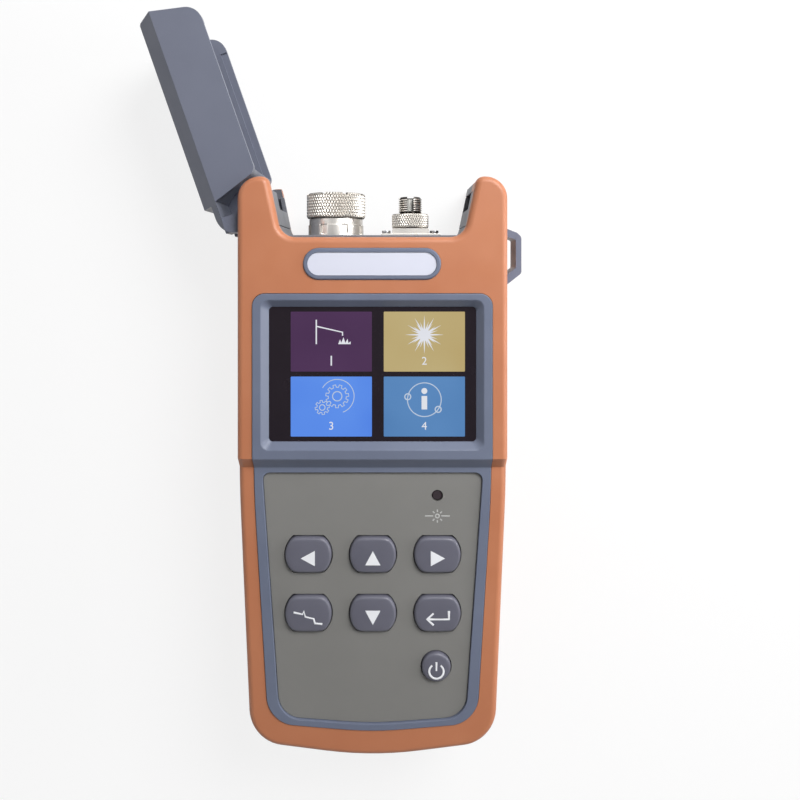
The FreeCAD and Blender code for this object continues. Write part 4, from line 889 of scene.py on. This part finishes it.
def cut_boxes(piece, boxes):
    """Cuts boxes out of a piece, each given as a middle, a size and a turn about the Y axis."""
    bm = bmesh.new()
    for spot, size, turn in boxes:
        made = bmesh.ops.create_cube(bm, size=1.0)["verts"]
        bmesh.ops.scale(bm, vec=size, verts=made)
        bmesh.ops.rotate(bm, cent=(0, 0, 0), matrix=Matrix.Rotation(turn, 3, "Y"), verts=made)
        bmesh.ops.translate(bm, vec=spot, verts=made)
    mesh = bpy.data.meshes.new("cutter")
    bm.to_mesh(mesh)
    bm.free()
    cutter = bpy.data.objects.new("cutter", mesh)
    bpy.context.scene.collection.objects.link(cutter)
    boolean = piece.modifiers.new("cut", "BOOLEAN")
    boolean.operation = "DIFFERENCE"
    boolean.solver = "EXACT"
    boolean.use_self = True
    boolean.object = cutter
    bpy.context.view_layer.update()
    result = bpy.data.meshes.new_from_object(piece.evaluated_get(bpy.context.evaluated_depsgraph_get()))
    piece.modifiers.remove(boolean)
    piece.data = result
    bpy.data.objects.remove(cutter)
    return len(result.polygons)


barrel = threaded_barrel()
KEY_SLOT_W = 2.2 * MM
KEY_SLOT_DEEP = 3.6 * MM
SLOT_ABOVE_NUT = 0.9 * MM
OVERSHOOT = 1.0 * MM
barrel_mid = centre("vfl_adaptor")
slot_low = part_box("vfl_knurled_nut")[1].y + SLOT_ABOVE_NUT
slot_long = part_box("vfl_adaptor")[1].y - slot_low + OVERSHOOT
slot_spot = (barrel_mid.x, slot_low + slot_long / 2, barrel_mid.z + KEY_SLOT_DEEP)
slot_size = (KEY_SLOT_W, slot_long, KEY_SLOT_DEEP)
print("barrel faces:", cut_boxes(barrel, [(slot_spot, slot_size, 0.0)]))

# %% [markdown]
# The large ring has eight shallow notches in the rim of its end face, for a spanner. They are cut by
# boxes that stand round the rim.

# %% Notches in the port ring
NOTCHES = 8
NOTCH_SIZE = (4 * MM, 1.1 * MM, 1.7 * MM)
NOTCH_REACH = 9.6
ring_mid = centre("otdr_knurled_ring")
ring_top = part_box("otdr_knurled_ring")[1].y
notches = []
for i in range(NOTCHES):
    turn = math.radians(360 * (i + 0.5) / NOTCHES)
    offset = Vector((math.cos(turn), 0, -math.sin(turn))) * NOTCH_REACH * MM
    place = (ring_mid.x + offset.x, ring_top, ring_mid.z + offset.z)
    notches.append((place, NOTCH_SIZE, turn))
print("ring faces:", cut_boxes(port_ring, notches))

# %% [markdown]
# ## Floor, light and camera
#
# The unit lies on a pale floor. The floor gives the camera, and the metal that mirrors it, mostly plain
# white and a smaller part of its lit colour, so that it looks white and still keeps a soft shadow.
# From 1.6 m out it curves up all round, as a studio's cove does, so a low camera sees no horizon.

# %% Floor
WHITE_SHARE = 0.82
FLOOR_DROP = 0.2 * MM
COVE_STEPS = 72


def white_for_rays(tree):
    """Is one for the rays that see the floor: from the camera, off metal, or through glass."""
    rays = tree.nodes.new("ShaderNodeLightPath")
    total = rays.outputs["Is Camera Ray"]
    for name in ("Is Glossy Ray", "Is Transmission Ray"):
        add = tree.nodes.new("ShaderNodeMath")
        add.operation = "MAXIMUM"
        tree.links.new(total, add.inputs[0])
        tree.links.new(rays.outputs[name], add.inputs[1])
        total = add.outputs["Value"]
    return total


def floor_material():
    """Plain white that still darkens a little where the object takes its light."""
    material, tree, shader = new_material("floor_white")
    shader.inputs["Base Color"].default_value = (0.86, 0.86, 0.86, 1)
    shader.inputs["Roughness"].default_value = 0.9
    white = tree.nodes.new("ShaderNodeEmission")
    white.inputs["Strength"].default_value = 1.0
    share = tree.nodes.new("ShaderNodeMath")
    share.operation = "MULTIPLY"
    share.inputs[1].default_value = WHITE_SHARE
    tree.links.new(white_for_rays(tree), share.inputs[0])
    blend = tree.nodes.new("ShaderNodeMixShader")
    tree.links.new(share.outputs["Value"], blend.inputs["Fac"])
    tree.links.new(shader.outputs["BSDF"], blend.inputs[1])
    tree.links.new(white.outputs["Emission"], blend.inputs[2])
    tree.links.new(blend.outputs["Shader"], tree.nodes["Material Output"].inputs["Surface"])
    return material


bm = bmesh.new()
cove = [(0.0, 0.0), (1.6, 0.0), (1.85, 0.06), (2.05, 0.2), (2.15, 0.45), (2.2, 0.8), (2.2, 2.4)]
chain = [bm.verts.new((r, 0, z - FLOOR_DROP)) for r, z in cove]
edges = [bm.edges.new(pair) for pair in zip(chain, chain[1:])]
bmesh.ops.spin(bm, geom=chain + edges, cent=(0, 0, 0), axis=(0, 0, 1), dvec=(0, 0, 0), angle=2 * math.pi,
               steps=COVE_STEPS, use_merge=True)
bmesh.ops.remove_doubles(bm, verts=bm.verts, dist=0.001 * MM)
bmesh.ops.recalc_face_normals(bm, faces=bm.faces)
bmesh.ops.reverse_faces(bm, faces=bm.faces)
floor_mesh = bpy.data.meshes.new("floor")
bm.to_mesh(floor_mesh)
bm.free()
floor_mesh.shade_smooth()
floor = bpy.data.objects.new("floor", floor_mesh)
floor_mesh.materials.append(floor_material())
bpy.context.scene.collection.objects.link(floor)
print("floor faces:", len(floor_mesh.polygons))

# %% [markdown]
# A large soft lamp hangs beyond the ports and to the right. It is near, so the ports get more light
# than the keys. It lights the walls that face it and leaves the slope under the screen in shade. Two
# weaker lamps and the pale world fill the shadows.

# %% Light
def soft_lamp(name, spot, target, size, power):
    """Round lamp at a spot, turned to a target."""
    light = bpy.data.lights.new(name, "AREA")
    light.shape = "DISK"
    light.size = size
    light.energy = power
    lamp = bpy.data.objects.new(name, light)
    lamp.location = spot
    lamp.rotation_euler = (Vector(target) - Vector(spot)).to_track_quat("-Z", "Y").to_euler()
    bpy.context.scene.collection.objects.link(lamp)
    return lamp


soft_lamp("key_lamp", (0.24, 0.36, 0.4), (0.0, 0.08, 0.04), 0.32, 3.7)
soft_lamp("side_lamp", (0.55, 0.05, 0.2), (0.03, 0.0, 0.04), 0.3, 1.5)
soft_lamp("fill_lamp", (-0.5, 0.4, 0.7), (0.0, 0.03, 0.04), 0.6, 0.8)
world = bpy.data.worlds.new("studio")
bpy.context.scene.world = world
world.use_nodes = True
background = world.node_tree.nodes["Background"]
background.inputs["Color"].default_value = (0.92, 0.93, 0.95, 1)
background.inputs["Strength"].default_value = 0.25
print("lamps:", [item.name for item in bpy.data.lights])

# %% [markdown]
# The camera looks straight down with its film shifted, so the sides of the unit stay parallel to the
# frame. It hangs over the bare plate, so the horns and the cover spread away from it as they rise.

# %% Camera
CAMERA_X, CAMERA_Y = 5.6 * MM, 63.3 * MM
DISTANCE = 227.4 * MM
face_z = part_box("front_shell")[1].z
camera_data = bpy.data.cameras.new("camera")
camera_data.sensor_width = 36
camera_data.lens = 32.23
camera_data.shift_x = 0.0125
camera_data.shift_y = -0.169
camera_data.clip_start = 0.01
camera = bpy.data.objects.new("camera", camera_data)
camera.location = (CAMERA_X, CAMERA_Y, face_z + DISTANCE)
bpy.context.scene.collection.objects.link(camera)
bpy.context.scene.camera = camera
bpy.context.scene.view_settings.view_transform = "Standard"
print("camera height:", round(camera.location.z / MM, 1), "mm")
